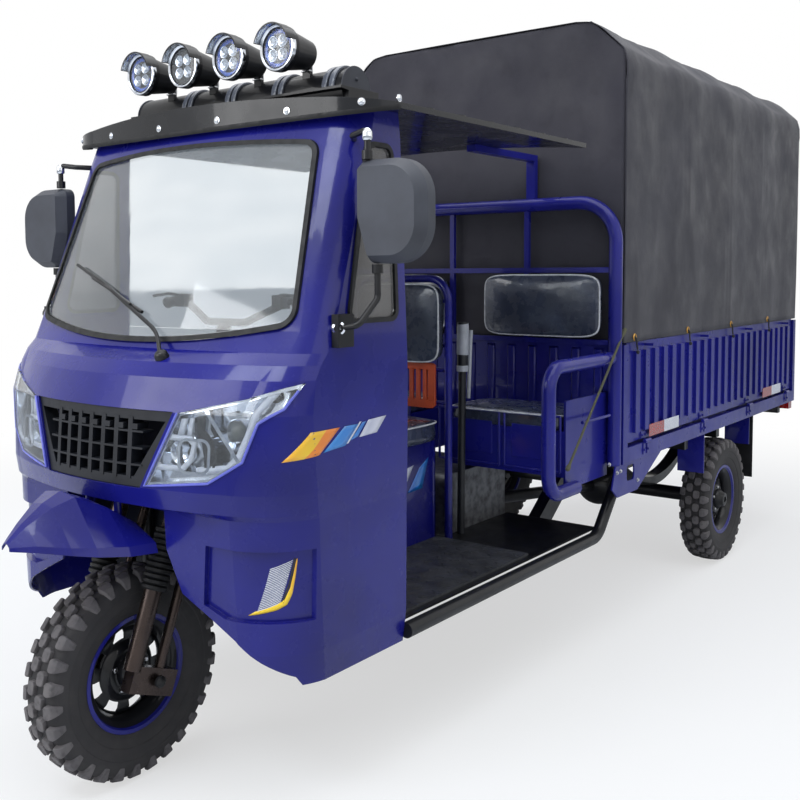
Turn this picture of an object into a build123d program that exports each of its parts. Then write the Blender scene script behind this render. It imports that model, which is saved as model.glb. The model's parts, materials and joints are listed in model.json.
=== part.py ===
from build123d import *
from math import cos, radians, sin, tan
import os

# Cargo tricycle with a cab front, a passenger bench and a covered drop-side bed.
# Millimetres. +Z up, the nose points to -Y, +X is the vehicle's left side.
# The origin is on the ground under the middle of the whole vehicle.

# Wheels
wheel_radius = 287.0
tyre_width = 130.0
rim_flange_radius = 161.0
rim_well_radius = 128.0
rim_width = 96.0
hub_radius = 68.0
hub_width = 118.0
rim_slots = 8
tread_facets = 36
lug_height = 11.0
lug_width = 30.0
front_axle_y = -1875.0
rear_axle_y = 1108.0
rear_wheel_x = 582.0

# Steering
rake = 21.4
steering_foot_y = -1845.0
fork_leg_x = 112.0
fork_leg_radius = 24.0
fork_damper_radius = 14.0
head_low_z = 800.0
head_high_z = 980.0
stem_radius = 20.0
head_radius = 36.0
steering_gap = 0.3
handlebar_radius = 11.0

# Cab shell, outer surface, by height. Columns: z, y at the centre, x and y of the
# shoulder, x and y where the side wall starts.
cab_sections = [
    (345.0, -1880.0, 430.0, -1862.0, 572.0, -1705.0),
    (430.0, -1890.0, 440.0, -1874.0, 584.0, -1722.0),
    (600.0, -1898.0, 430.0, -1884.0, 586.0, -1732.0),
    (764.0, -1908.0, 425.0, -1888.0, 587.0, -1738.0),
    (778.0, -1966.0, 425.0, -1900.0, 588.0, -1742.0),
    (830.0, -1984.0, 436.0, -1904.0, 590.0, -1748.0),
    (1022.0, -1968.0, 468.0, -1880.0, 592.0, -1764.0),
    (1105.0, -1938.0, 490.0, -1840.0, 592.0, -1752.0),
    (1140.0, -1906.0, 510.0, -1812.0, 591.0, -1732.0),
    (1168.0, -1846.0, 528.0, -1776.0, 590.0, -1704.0),
    (1221.0, -1820.0, 538.0, -1748.0, 588.0, -1676.0),
    (1721.0, -1618.0, 479.0, -1573.0, 570.0, -1500.0),
    (1830.0, -1572.0, 462.0, -1533.0, 560.0, -1465.0),
]
cab_wall = 6.0
pocket_front_x = 330.0
pocket_rear_y = -1745.0
pocket_low_z = 512.0
pocket_high_z = 690.0
pocket_depth = 13.0
pocket_wall = 6.0
cab_rear_y = -1375.0
corner_bulge = 0.14

# Screen outline seen from the front, outer edge of its seal
screen_top_x = 479.0
screen_top_z = 1721.0
screen_top_mid_z = 1742.0
screen_bottom_x = 538.0
screen_bottom_z = 1221.0
screen_bottom_mid_z = 1170.0
screen_corner = 60.0
seal_width = 26.0
seal_stand = 8.0
glass_thickness = 5.0

# Quarter windows, seen from the side
quarter_front_y = -1645.0
quarter_lean = 108.0
quarter_rear_y = -1404.0
quarter_low_z = 1222.0
quarter_high_z = 1715.0
quarter_corner = 45.0

# Grille and headlamps, seen from the front
grille_top_x = 284.0
grille_top_z = 1024.0
grille_bottom_x = 191.0
grille_bottom_z = 828.0
grille_depth = 46.0
grille_bars = 7
grille_bar_width = 15.0
grille_cross_pitch = 42.0
lamp_wall = 5.0
lamp_bowl_depth = 44.0

# Floor and frame
floor_top_z = 400.0
floor_sheet = 6.0
floor_front_y = -1545.0
floor_rear_y = -120.0
floor_half_width = 560.0
side_rail_radius = 22.0
frame_rail_x = 250.0
frame_rail_width = 50.0
frame_rail_height = 80.0
frame_low_z = 300.0
frame_high_z = 500.0
frame_front_y = -1500.0
frame_rise_start_y = -60.0
frame_rise_end_y = 220.0

# Bed
seat_gap = 0.3
bed_front_y = -89.7
bed_rear_y = 2200.0
bed_half_width = 652.0
bed_floor_z = 708.0
bed_floor_sheet = 8.0
bed_edge_height = 66.0
panel_height = 382.0
panel_thickness = 26.0
panel_skin = 3.0
panel_rib_pitch = 92.0
panel_gap = 5.0
panel_post = 40.0

# Headboard hoop in front of the bed
hoop_y = -115.0
hoop_radius = 25.0
hoop_half_width = 627.0
hoop_top_z = 1620.0
hoop_bend = 150.0
hoop_mid_z = 1368.0
hoop_low_z = 1098.0
hoop_post_x = (-86.0, 259.0)
roof_post_x = 278.0

# Cab roof
roof_front_y = -1622.0
roof_shoulder = (480.0, -1586.0)
roof_corner = (585.0, -1548.0)
roof_side_y = -1480.0
roof_rear_y = -395.0
roof_brow_z = 1766.0
roof_brow_rise = 0.16
roof_brow_wall = 8.0
roof_brow_rear_y = -1474.0
roof_rib_height = 9.0
roof_rib_width = 44.0
roof_rib_pitch = 160.0
roof_rib_count = 6
roof_half_width = 640.0
roof_low_z = 1784.0
roof_crown = 34.0
roof_thickness = 16.0

# Lamps on the roof bar
roof_lamp_x = (-285.0, -95.0, 95.0, 285.0)
roof_lamp_y = -1490.0
roof_lamp_z = 1972.0
roof_lamp_radius = 62.0
roof_lamp_length = 120.0
roof_lamp_bezel = 10.0
roof_lamp_visor = 26.0
light_bar_y = -1385.0
light_bar_z = 1868.0
light_bar_half = 425.0
light_bar_radius = 60.0
saddle_width = 16.0
saddle_spread = 26.0
platform_half = 440.0
platform_lip_y = -1466.0
platform_rear_y = -1300.0

# Tarp over the bed
tarp_eave_z = 2166.0
tarp_crown_z = 2299.0
tarp_crown_x = 506.0
tarp_hem_z = 1100.0
tarp_thickness = 5.0
bow_radius = 12.0
bow_count = 5
tarp_gap = 0.4

# Passenger bench and driver's seat
bench_front_y = -445.0
bench_rear_y = -107.0
bench_inner_x = 107.0
bench_outer_x = 595.7
bench_low_z = 645.0
bench_high_z = 807.0
bench_cushion_top_z = 877.0
back_cushion_x = (95.0, 585.0)
back_cushion_z = (1119.0, 1350.0)
back_cushion_thickness = 50.0
guard_x = 620.0
guard_front_y = -618.0
guard_top_z = 1043.0
guard_low_z = 612.0
guard_radius = 24.0


def block(low, high):
    """A box between two corners, added to the part that is being built."""
    size = [high[i] - low[i] for i in range(3)]
    centre = Vector(*[(high[i] + low[i]) / 2 for i in range(3)])
    with Locations(centre):
        Box(*size)


def tube(points, bend, radius):
    """A round bar along straight runs with bends, added to the part being built."""
    with BuildLine() as path:
        if len(points) == 2:
            Line(*points)
        else:
            FilletPolyline(*points, radius=bend)
    with BuildSketch(Plane(origin=path.line @ 0, z_dir=path.line % 0)) as section:
        Circle(radius)
    sweep(sections=section.sketch, path=path.line)


def cab_outline(section, inset, rear_y):
    """One level section of the cab: a bowed front, rounded corners and flat sides."""
    z, front_y, shoulder_x, shoulder_y, side_x, side_y = section
    front_y, shoulder_y, side_y = front_y + inset, shoulder_y + inset, side_y + inset / 2
    shoulder_x, side_x = shoulder_x - inset / 2, side_x - inset
    mid_x = (shoulder_x + side_x) / 2 + corner_bulge * (side_y - shoulder_y)
    mid_y = (shoulder_y + side_y) / 2 - corner_bulge * (side_x - shoulder_x)
    with BuildSketch(Plane.XY.offset(z)) as level:
        with BuildLine():
            ThreePointArc((-shoulder_x, shoulder_y), (0, front_y), (shoulder_x, shoulder_y))
            ThreePointArc((shoulder_x, shoulder_y), (mid_x, mid_y), (side_x, side_y))
            Polyline((side_x, side_y), (side_x, rear_y), (-side_x, rear_y), (-side_x, side_y))
            ThreePointArc((-side_x, side_y), (-mid_x, mid_y), (-shoulder_x, shoulder_y))
        make_face()
    return level.sketch


def cab_solid(inset, rear_y, low_z=None, high_z=None):
    """The cab's body filled solid, set in from its outer surface."""
    sections = [list(section) for section in cab_sections]
    if low_z is not None:
        sections[0][0] = low_z
    if high_z is not None:
        sections[-1][0] = high_z
    with BuildPart(mode=Mode.PRIVATE) as solid:
        loft([cab_outline(section, inset, rear_y) for section in sections], ruled=True)
    return solid.part


def screen_outline(inset):
    """The screen seen from the front, set in from the seal's outer edge."""
    top_x, bottom_x = screen_top_x - inset, screen_bottom_x - inset
    with BuildSketch(Plane.XZ, mode=Mode.PRIVATE) as outline:
        with BuildLine():
            ThreePointArc(
                (-top_x, screen_top_z - inset),
                (0, screen_top_mid_z - inset),
                (top_x, screen_top_z - inset),
            )
            Line((top_x, screen_top_z - inset), (bottom_x, screen_bottom_z + inset))
            ThreePointArc(
                (bottom_x, screen_bottom_z + inset),
                (0, screen_bottom_mid_z + inset),
                (-bottom_x, screen_bottom_z + inset),
            )
            Line((-bottom_x, screen_bottom_z + inset), (-top_x, screen_top_z - inset))
        make_face()
        fillet(outline.vertices(), screen_corner - inset)
    return outline.sketch


def quarter_outline(inset):
    """A quarter window seen from the side, set in from its seal's outer edge."""
    low_z, high_z = quarter_low_z + inset, quarter_high_z - inset
    rear_y, front_y = quarter_rear_y - inset, quarter_front_y + inset
    with BuildSketch(Plane.YZ, mode=Mode.PRIVATE) as outline:
        with BuildLine():
            Polyline(
                (front_y, low_z),
                (rear_y, low_z),
                (rear_y, high_z),
                (front_y + quarter_lean, high_z),
                (front_y, low_z),
            )
        make_face()
        fillet(outline.vertices(), quarter_corner - inset)
    return outline.sketch


def front_prism(sketch, front_y, rear_y):
    """A front view outline carried straight back through the nose."""
    return extrude(sketch.moved(Location((0, rear_y, 0))), rear_y - front_y, mode=Mode.PRIVATE)


def lamp_outline(inset):
    """The left headlamp seen from the front."""
    points = [
        (298.0, 1022.0),
        (208.0, 836.0),
        (388.0, 856.0),
        (474.0, 912.0),
        (508.0, 1006.0),
        (556.0, 1040.0),
        (582.0, 1100.0),
        (470.0, 1062.0),
    ]
    with BuildSketch(Plane.XZ, mode=Mode.PRIVATE) as outline:
        with BuildLine():
            Polyline(*points, close=True)
        make_face()
        if inset:
            offset(amount=-inset)
    return outline.sketch


def grille_outline(inset):
    """The grille seen from the front."""
    top_x, bottom_x = grille_top_x - inset, grille_bottom_x - inset
    with BuildSketch(Plane.XZ, mode=Mode.PRIVATE) as outline:
        with BuildLine():
            Polyline(
                (-top_x, grille_top_z - inset),
                (top_x, grille_top_z - inset),
                (bottom_x, grille_bottom_z + inset),
                (-bottom_x, grille_bottom_z + inset),
                close=True,
            )
        make_face()
    return outline.sketch


def pocket_region(hand, more):
    """The upright block that a skirt pocket is cut from. Hand is +1 on the left, more widens it."""
    with BuildPart(mode=Mode.PRIVATE) as region:
        with BuildSketch(Plane.XZ.offset(-pocket_rear_y - more)):
            with BuildLine():
                Polyline(
                    (hand * (pocket_front_x - more), pocket_low_z + 24),
                    (hand * (pocket_front_x + 16 - more), pocket_high_z + more),
                    (hand * 640, pocket_high_z + more),
                    (hand * 640, pocket_low_z - more),
                    (hand * (pocket_front_x + 70), pocket_low_z - more),
                    close=True,
                )
            make_face()
        extrude(amount=250)
    return region.part


nose_y = -2100.0
lamp_rear_y = -1748.0
dash_y = -1600.0

# Cab front shell: nose, screen surround, side walls and skirts in one moulding
with BuildPart() as cab_shell:
    add(cab_solid(0, cab_rear_y))
    add(
        cab_solid(cab_wall, cab_rear_y + 50, cab_sections[0][0] - 20, cab_sections[-1][0] + 20),
        mode=Mode.SUBTRACT,
    )
    add(front_prism(screen_outline(seal_width / 2), nose_y, dash_y + 100), mode=Mode.SUBTRACT)
    extrude(quarter_outline(seal_width / 2), 700, both=True, mode=Mode.SUBTRACT)
    add(front_prism(grille_outline(0), nose_y, dash_y), mode=Mode.SUBTRACT)
    lamp_hole = front_prism(lamp_outline(0), nose_y, lamp_rear_y)
    add(lamp_hole, mode=Mode.SUBTRACT)
    add(lamp_hole.mirror(Plane.YZ), mode=Mode.SUBTRACT)
    with BuildSketch(Plane.XZ.offset(1700)):
        with BuildLine():
            Polyline(
                (-205, 760),
                (205, 760),
                (205, 660),
                (255, 551),
                (350, 505),
                (430, 462),
                (490, 412),
                (545, 370),
                (560, 300),
                (-560, 300),
                (-545, 370),
                (-490, 412),
                (-430, 462),
                (-350, 505),
                (-255, 551),
                (-205, 660),
                close=True,
            )
        make_face()
    extrude(amount=400, mode=Mode.SUBTRACT)

    with BuildSketch(Plane.XZ.offset(1300)):
        with BuildLine():
            ThreePointArc(
                (-roof_half_width, roof_low_z - seat_gap),
                (0, roof_low_z + roof_crown - seat_gap),
                (roof_half_width, roof_low_z - seat_gap),
            )
            Polyline(
                (roof_half_width, roof_low_z - seat_gap),
                (roof_half_width, roof_low_z + 100),
                (-roof_half_width, roof_low_z + 100),
                (-roof_half_width, roof_low_z - seat_gap),
            )
        make_face()
    extrude(amount=400, mode=Mode.SUBTRACT)
    for hand in (-1, 1):
        pocket_skin = cab_solid(0, cab_rear_y) - cab_solid(pocket_depth + cab_wall, cab_rear_y)
        add(pocket_region(hand, pocket_wall) & pocket_skin)
        add(pocket_region(hand, 0) - cab_solid(pocket_depth, cab_rear_y), mode=Mode.SUBTRACT)

# Screen glass and its rubber seal
with BuildPart() as screen_glass:
    add(cab_solid(0, cab_rear_y))
    add(cab_solid(glass_thickness, cab_rear_y + 50), mode=Mode.SUBTRACT)
    add(front_prism(screen_outline(seal_width), nose_y, dash_y + 100), mode=Mode.INTERSECT)
with BuildPart() as screen_seal:
    add(cab_solid(-seal_stand, cab_rear_y))
    add(cab_solid(cab_wall, cab_rear_y + 50), mode=Mode.SUBTRACT)
    add(front_prism(screen_outline(seal_width / 2 + 0.3), nose_y, dash_y + 100), mode=Mode.INTERSECT)
    add(front_prism(screen_outline(seal_width - 0.3), nose_y, dash_y + 120), mode=Mode.SUBTRACT)

# Quarter windows
with BuildPart() as quarter_glass:
    add(cab_solid(0, cab_rear_y))
    add(cab_solid(glass_thickness, cab_rear_y + 50), mode=Mode.SUBTRACT)
    extrude(quarter_outline(seal_width), 700, both=True, mode=Mode.INTERSECT)
with BuildPart() as quarter_seal:
    add(cab_solid(-seal_stand, cab_rear_y))
    add(cab_solid(cab_wall, cab_rear_y + 50), mode=Mode.SUBTRACT)
    extrude(quarter_outline(seal_width / 2 + 0.3), 700, both=True, mode=Mode.INTERSECT)
    extrude(quarter_outline(seal_width - 0.3), 700, both=True, mode=Mode.SUBTRACT)

# Grille: a frame, vertical bars and two cross bars
with BuildPart() as grille:
    add(cab_solid(6, cab_rear_y))
    add(cab_solid(grille_depth, cab_rear_y + 50), mode=Mode.SUBTRACT)
    add(front_prism(grille_outline(0.3), nose_y, dash_y - 150), mode=Mode.INTERSECT)
    add(front_prism(grille_outline(26), nose_y, dash_y - 100), mode=Mode.SUBTRACT)
grille_pitch = (2 * grille_bottom_x - 30) / (grille_bars + 1)
with BuildPart() as grille_bars_part:
    add(cab_solid(4, cab_rear_y))
    add(cab_solid(grille_depth - 8, cab_rear_y + 50), mode=Mode.SUBTRACT)
    with BuildSketch(Plane.XZ.offset(-nose_y)) as bars:
        with Locations((0, (grille_top_z + grille_bottom_z) / 2)):
            with GridLocations(grille_pitch * 1.12, 0, grille_bars, 1):
                Rectangle(grille_bar_width, grille_top_z - grille_bottom_z - 40)
            with GridLocations(0, grille_cross_pitch, 1, 3):
                Rectangle(2 * grille_bottom_x, 5)
        with Locations((grille_bar_width * 0.8, grille_top_z - 44)):
            with GridLocations(grille_pitch * 1.12, 0, grille_bars, 1):
                Rectangle(grille_bar_width * 1.6, 14)
    extrude(amount=-400, mode=Mode.INTERSECT)
grille.part = grille.part + grille_bars_part.part

# Headlamps: a dished housing behind a clear lens
with BuildPart() as lamp_bowl:
    add(cab_solid(lamp_wall, cab_rear_y))
    add(cab_solid(lamp_bowl_depth, cab_rear_y + 50), mode=Mode.SUBTRACT)
    add(front_prism(lamp_outline(8), nose_y, lamp_rear_y), mode=Mode.INTERSECT)
    with BuildSketch(Plane.XZ.offset(-nose_y)) as guides:
        with Locations((344, 918)):
            RectangleRounded(88, 88, 24)
            RectangleRounded(74, 74, 18, mode=Mode.SUBTRACT)
        with Locations(Location((418, 968), 36)):
            Rectangle(9, 190)
    extrude(amount=-400, mode=Mode.SUBTRACT)
with BuildPart() as headlamp_housing:
    add(cab_solid(lamp_wall + 0.3, cab_rear_y))
    add(cab_solid(60, cab_rear_y + 50), mode=Mode.SUBTRACT)
    add(front_prism(lamp_outline(0.3), nose_y, lamp_rear_y), mode=Mode.INTERSECT)
    add(lamp_bowl.part, mode=Mode.SUBTRACT)
    mirror(about=Plane.YZ)
with BuildPart() as headlamp_lens:
    add(cab_solid(-4, cab_rear_y))
    add(cab_solid(lamp_wall, cab_rear_y + 50), mode=Mode.SUBTRACT)
    add(front_prism(lamp_outline(0.3), nose_y, lamp_rear_y), mode=Mode.INTERSECT)
    mirror(about=Plane.YZ)


# Roof: a crowned panel with cross ribs and a brow moulding that hangs over the screen
def under_roof(lift, front_y=-1700.0, rear_y=-200.0):
    """The space below the roof's underside, with that surface raised by lift."""
    edge_z = roof_low_z + lift
    with BuildPart(mode=Mode.PRIVATE) as below:
        with BuildSketch(Plane.XZ.offset(-rear_y)):
            with BuildLine():
                ThreePointArc((-roof_half_width, edge_z), (0, edge_z + roof_crown), (roof_half_width, edge_z))
                Polyline(
                    (roof_half_width, edge_z),
                    (roof_half_width, roof_low_z - 100),
                    (-roof_half_width, roof_low_z - 100),
                    (-roof_half_width, edge_z),
                )
            make_face()
        extrude(amount=rear_y - front_y)
    return below.part


def roof_plan(inset, low_z, height):
    """The roof seen from above, as an upright prism."""
    side_x, side_y = roof_half_width - inset, roof_side_y + inset / 2
    shoulder_x, shoulder_y = roof_shoulder[0] - inset / 2, roof_shoulder[1] + inset
    corner_x, corner_y = roof_corner[0] - inset * 0.7, roof_corner[1] + inset * 0.7
    with BuildPart(mode=Mode.PRIVATE) as prism:
        with BuildSketch(Plane.XY.offset(low_z)):
            with BuildLine():
                ThreePointArc((-shoulder_x, shoulder_y), (0, roof_front_y + inset), (shoulder_x, shoulder_y))
                ThreePointArc((shoulder_x, shoulder_y), (corner_x, corner_y), (side_x, side_y))
                Polyline((side_x, side_y), (side_x, roof_rear_y), (-side_x, roof_rear_y), (-side_x, side_y))
                ThreePointArc((-side_x, side_y), (-corner_x, corner_y), (-shoulder_x, shoulder_y))
            make_face()
        extrude(amount=height)
    return prism.part


with BuildPart() as roof_brow:
    add(roof_plan(0, roof_low_z - 60, 130))
    add(roof_plan(roof_brow_wall, roof_low_z - 70, 150), mode=Mode.SUBTRACT)
    with BuildSketch(Plane.YZ.offset(-roof_half_width - 10)):
        with BuildLine():
            Polyline(
                (roof_front_y - 10, roof_brow_z),
                (roof_front_y - 10, roof_low_z + 60),
                (roof_brow_rear_y, roof_low_z + 60),
                (roof_brow_rear_y, roof_brow_z + roof_brow_rise * (roof_brow_rear_y - roof_front_y)),
                (roof_front_y, roof_brow_z),
                close=True,
            )
        make_face()
    extrude(amount=2 * roof_half_width + 20, mode=Mode.INTERSECT)
    add(under_roof(roof_thickness / 2), mode=Mode.INTERSECT)
with BuildPart() as roof_panel:
    add(under_roof(roof_thickness))
    add(under_roof(0), mode=Mode.SUBTRACT)
    add(roof_plan(0, roof_low_z - 50, 200), mode=Mode.INTERSECT)
    add(roof_brow.part)
with BuildPart() as roof_ribs:
    add(under_roof(roof_thickness + roof_rib_height))
    add(under_roof(roof_thickness - 1), mode=Mode.SUBTRACT)
    with BuildSketch(Plane.XY.offset(roof_low_z)):
        with Locations((0, platform_rear_y + 30 + (roof_rib_count * roof_rib_pitch - roof_rib_pitch) / 2)):
            with GridLocations(0, roof_rib_pitch, 1, roof_rib_count):
                RectangleRounded(2 * roof_half_width - 70, roof_rib_width, 20)
    extrude(amount=200, mode=Mode.INTERSECT)
roof_panel.part = roof_panel.part + roof_ribs.part

# Light bar: a half round housing on a raised platform, with a pair of saddle rings by each lamp
with BuildPart() as light_bar:
    with BuildSketch(Plane.YZ.offset(-platform_half)):
        with BuildLine():
            Polyline(
                (platform_lip_y, light_bar_z),
                (platform_lip_y, light_bar_z - 7),
                (platform_lip_y + 34, light_bar_z - 10),
                (platform_lip_y + 20, roof_low_z),
                (platform_rear_y, roof_low_z),
                (platform_rear_y, light_bar_z),
                close=True,
            )
        make_face()
    extrude(amount=2 * platform_half)
    add(under_roof(roof_thickness + 0.1), mode=Mode.SUBTRACT)
    with BuildSketch(Plane.YZ.offset(-light_bar_half)):
        with Locations((light_bar_y, light_bar_z)):
            Circle(light_bar_radius)
    extrude(amount=2 * light_bar_half)
    add(under_roof(roof_thickness + 0.1), mode=Mode.SUBTRACT)
    for x in roof_lamp_x:
        for side in (-1, 1):
            saddle_x = x + 95 + side * saddle_spread / 2
            with BuildSketch(Plane.YZ.offset(saddle_x - saddle_width / 2)):
                with Locations((light_bar_y, light_bar_z)):
                    Circle(light_bar_radius + 5)
                with Locations((light_bar_y, light_bar_z - light_bar_radius - 5)):
                    Rectangle(4 * light_bar_radius, 2 * light_bar_radius + 10, mode=Mode.SUBTRACT)
            extrude(amount=saddle_width)
with BuildPart() as roof_lamps:
    lamp_front_y = roof_lamp_y - roof_lamp_length / 2
    for x in roof_lamp_x:
        lamp_plane = Plane(origin=(x, lamp_front_y, roof_lamp_z), x_dir=(1, 0, 0), z_dir=(0, -1, 0))
        with BuildSketch(lamp_plane.offset(-roof_lamp_length)):
            Circle(roof_lamp_radius - 22)
        with BuildSketch(lamp_plane.offset(-24)):
            Circle(roof_lamp_radius - 5)
        loft()
        with BuildSketch(lamp_plane.offset(-24.1)):
            Circle(roof_lamp_radius)
        extrude(amount=24.1)
        with BuildSketch(lamp_plane.offset(-12)):
            Circle(roof_lamp_radius - roof_lamp_bezel)
        extrude(amount=20, mode=Mode.SUBTRACT)
        with BuildSketch(lamp_plane.offset(-10)):
            Circle(roof_lamp_radius + 2)
            Circle(roof_lamp_radius - 2, mode=Mode.SUBTRACT)
            with Locations((0, -roof_lamp_radius * 0.75)):
                Rectangle(3 * roof_lamp_radius, 2 * roof_lamp_radius, mode=Mode.SUBTRACT)
        extrude(amount=10 + roof_lamp_visor)
        block((x - 14, light_bar_y - 46, light_bar_z + light_bar_radius * 0.2), (x + 14, light_bar_y - 34, roof_lamp_z - 30))
    with BuildSketch(Plane.YZ.offset(-light_bar_half - 10)):
        with Locations((light_bar_y, light_bar_z)):
            Circle(light_bar_radius + 0.3)
    extrude(amount=2 * light_bar_half + 20, mode=Mode.SUBTRACT)

# Bulkhead behind the front wheel, with the dash shelf on its top
dash_z = 1150.0
dash_rear_y = -1500.0
bulkhead_y = -1545.0
bulkhead_sheet = 6.0
bulkhead_bend_z = 800.0
dash_front_y = -1700.0
stem_clearance = 60.0
axis_slope = tan(radians(rake))


def on_axis(z):
    """The steering axis at a height."""
    return (0, steering_foot_y + (z - wheel_radius) * axis_slope, z)


head_low = Vector(*on_axis(head_low_z))
head_high = Vector(*on_axis(head_high_z))
head_plane = Plane(origin=head_low, x_dir=(1, 0, 0), z_dir=head_high - head_low)
with BuildPart() as bulkhead:
    with BuildSketch(Plane.YZ.offset(-floor_half_width)):
        with BuildLine():
            Polyline(
                (bulkhead_y, floor_top_z),
                (bulkhead_y - bulkhead_sheet, floor_top_z),
                (bulkhead_y - bulkhead_sheet, bulkhead_bend_z),
                (dash_front_y, dash_z),
                (dash_front_y, dash_z + bulkhead_sheet),
                (dash_rear_y, dash_z + bulkhead_sheet),
                (dash_rear_y, dash_z),
                (dash_front_y + 10, dash_z),
                (bulkhead_y, bulkhead_bend_z),
                close=True,
            )
        make_face()
    extrude(amount=2 * floor_half_width)
    with BuildSketch(head_plane.offset(-150)):
        Circle(stem_clearance)
    extrude(amount=700, mode=Mode.SUBTRACT)

# Mirrors: a deep head on two bent arms, bolted to the pillar above and clamped below
mirror_y = -1600.0
mirror_depth = 62.0
mirror_inner_x = 606.0
mirror_outer_x = 816.0
mirror_low_z = 1386.0
mirror_high_z = 1641.0
mirror_arm_radius = 8.0
mirror_collar_radius = 14.0
upper_arm_x = 634.0
lower_arm_x = 664.0
with BuildPart() as mirror_arms:
    tube(
        [
            (530, -1520, 1706),
            (575, mirror_y + 15, 1708),
            (upper_arm_x, mirror_y, 1716),
            (upper_arm_x, mirror_y, mirror_high_z + 4),
        ],
        14,
        mirror_arm_radius,
    )
    tube(
        [
            (600, -1674, 1228),
            (lower_arm_x - 10, -1664, 1236),
            (lower_arm_x, mirror_y, 1300),
            (lower_arm_x, mirror_y, mirror_low_z - 4),
        ],
        20,
        mirror_arm_radius,
    )
    with BuildSketch(Plane.XY.offset(mirror_high_z + 2)):
        with Locations((upper_arm_x, mirror_y)):
            Circle(mirror_collar_radius)
    extrude(amount=22)
    with BuildSketch(Plane.XY.offset(mirror_low_z - 24)):
        with Locations((lower_arm_x, mirror_y)):
            Circle(mirror_collar_radius)
    extrude(amount=22)
    block((589.9, -1690, 1180), (612, -1630, 1262))
    add(cab_solid(-seat_gap, cab_rear_y), mode=Mode.SUBTRACT)
    mirror(about=Plane.YZ)
with BuildPart() as mirror_heads:
    with BuildSketch(Plane.XZ.offset(-mirror_y - mirror_depth / 2)) as head_outline:
        with BuildLine():
            Polyline(
                (mirror_inner_x, mirror_high_z),
                (mirror_outer_x, mirror_high_z),
                (mirror_outer_x, mirror_low_z),
                (mirror_inner_x + 34, mirror_low_z),
                (mirror_inner_x, mirror_low_z + 110),
                close=True,
            )
        make_face()
        corners = head_outline.vertices().group_by(Axis.X)
        fillet(corners[-1], 96)
        fillet(head_outline.vertices().sort_by(Axis.X)[:3], 28)
    extrude(amount=mirror_depth * 0.5)
    front_face = head_outline.sketch.moved(Location((0, -mirror_depth * 0.5, 0)))
    extrude(front_face, amount=mirror_depth * 0.5, taper=32)
    mirror(about=Plane.YZ)

# Wiper on the screen
with BuildPart() as wiper:
    tube([(250, -1842, 1185), (90, -1806, 1370)], 0, 6)
    tube([(30, -1808, 1330), (150, -1790, 1420)], 0, 6)

# Ladder frame: two straight box rails with round cross tubes under the cab
frame_joint_y = frame_rise_start_y - 30
with BuildPart() as chassis_frame:
    block((frame_rail_x, frame_front_y, frame_low_z),
          (frame_rail_x + frame_rail_width, frame_joint_y, frame_low_z + frame_rail_height))
    mirror(about=Plane.YZ)
    for y in (-1480.0, -1000.0, -520.0, -170.0):
        tube([(-frame_rail_x, y, frame_low_z + 40), (frame_rail_x, y, frame_low_z + 40)], 0, 18)

# Rear frame: the rails rise behind the engine and carry the bed's bearers
with BuildPart() as rear_frame:
    with BuildSketch(Plane.YZ.offset(frame_rail_x)):
        with BuildLine():
            Polyline(
                (frame_joint_y, frame_low_z),
                (frame_rise_start_y, frame_low_z),
                (frame_rise_end_y, frame_high_z),
                (bed_rear_y - 60, frame_high_z),
                (bed_rear_y - 60, frame_high_z + frame_rail_height),
                (frame_rise_end_y - 30, frame_high_z + frame_rail_height),
                (frame_joint_y, frame_low_z + frame_rail_height),
                close=True,
            )
        make_face()
    extrude(amount=frame_rail_width)
    mirror(about=Plane.YZ)
    for y in (300.0, 750.0, 1450.0, 2100.0):
        tube([(-frame_rail_x, y, frame_high_z + 40), (frame_rail_x, y, frame_high_z + 40)], 0, 18)

# Bearers across the rails, under the bed floor
with BuildPart() as bed_bearers:
    for y in (220.0, 700.0, 1108.0, 1600.0, 2100.0):
        block((-600, y - 20, frame_high_z + frame_rail_height), (600, y + 20, bed_floor_z - bed_floor_sheet))

# Head tube on two stays from the front ends of the rails
rail_mid_x = frame_rail_x + frame_rail_width / 2
rail_mid_z = frame_low_z + frame_rail_height / 2
stay_y = -1574.0
with BuildPart() as head_frame:
    with BuildSketch(head_plane):
        Circle(head_radius)
    extrude(amount=(head_high - head_low).length)
    for side in (-1, 1):
        tube(
            [
                (side * rail_mid_x, frame_front_y - seat_gap, rail_mid_z),
                (side * rail_mid_x, stay_y, rail_mid_z),
                (side * (rail_mid_x - 10), stay_y, 760),
                (side * 10, -1634, 868),
            ],
            30,
            18,
        )
    with BuildSketch(head_plane.offset(-60)):
        Circle(stem_radius + steering_gap)
    extrude(amount=400, mode=Mode.SUBTRACT)

# Engine: one block in the frame
with BuildPart() as engine_block:
    block((-170, -560, 358.3), (170, -130, 620))
    fillet(engine_block.edges().filter_by(Axis.X), 40)

# Step floor, its mat and the curved side rails
with BuildPart() as step_floor:
    block((-floor_half_width, floor_front_y, floor_top_z - floor_sheet),
          (floor_half_width, floor_rear_y, floor_top_z))
    block((-572.8, floor_front_y, floor_top_z - floor_sheet), (572.8, cab_rear_y, floor_top_z))
    with Locations((0, floor_rear_y, floor_top_z)):
        Box(352, 900, 100, mode=Mode.SUBTRACT)
with BuildPart() as floor_mat:
    block((-floor_half_width + 20, floor_front_y + 20, floor_top_z),
          (floor_half_width - 20, -606, floor_top_z + 8))
    with Locations((0, -810, floor_top_z)):
        Box(331, 461, 40, mode=Mode.SUBTRACT)
with BuildPart() as side_rails:
    x = floor_half_width + side_rail_radius
    tube(
        [(x, cab_rear_y + 1, 375), (x, -160, 375), (x, 60, 612), (x, 199.7, 612)],
        90,
        side_rail_radius,
    )
    mirror(about=Plane.YZ)

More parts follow.
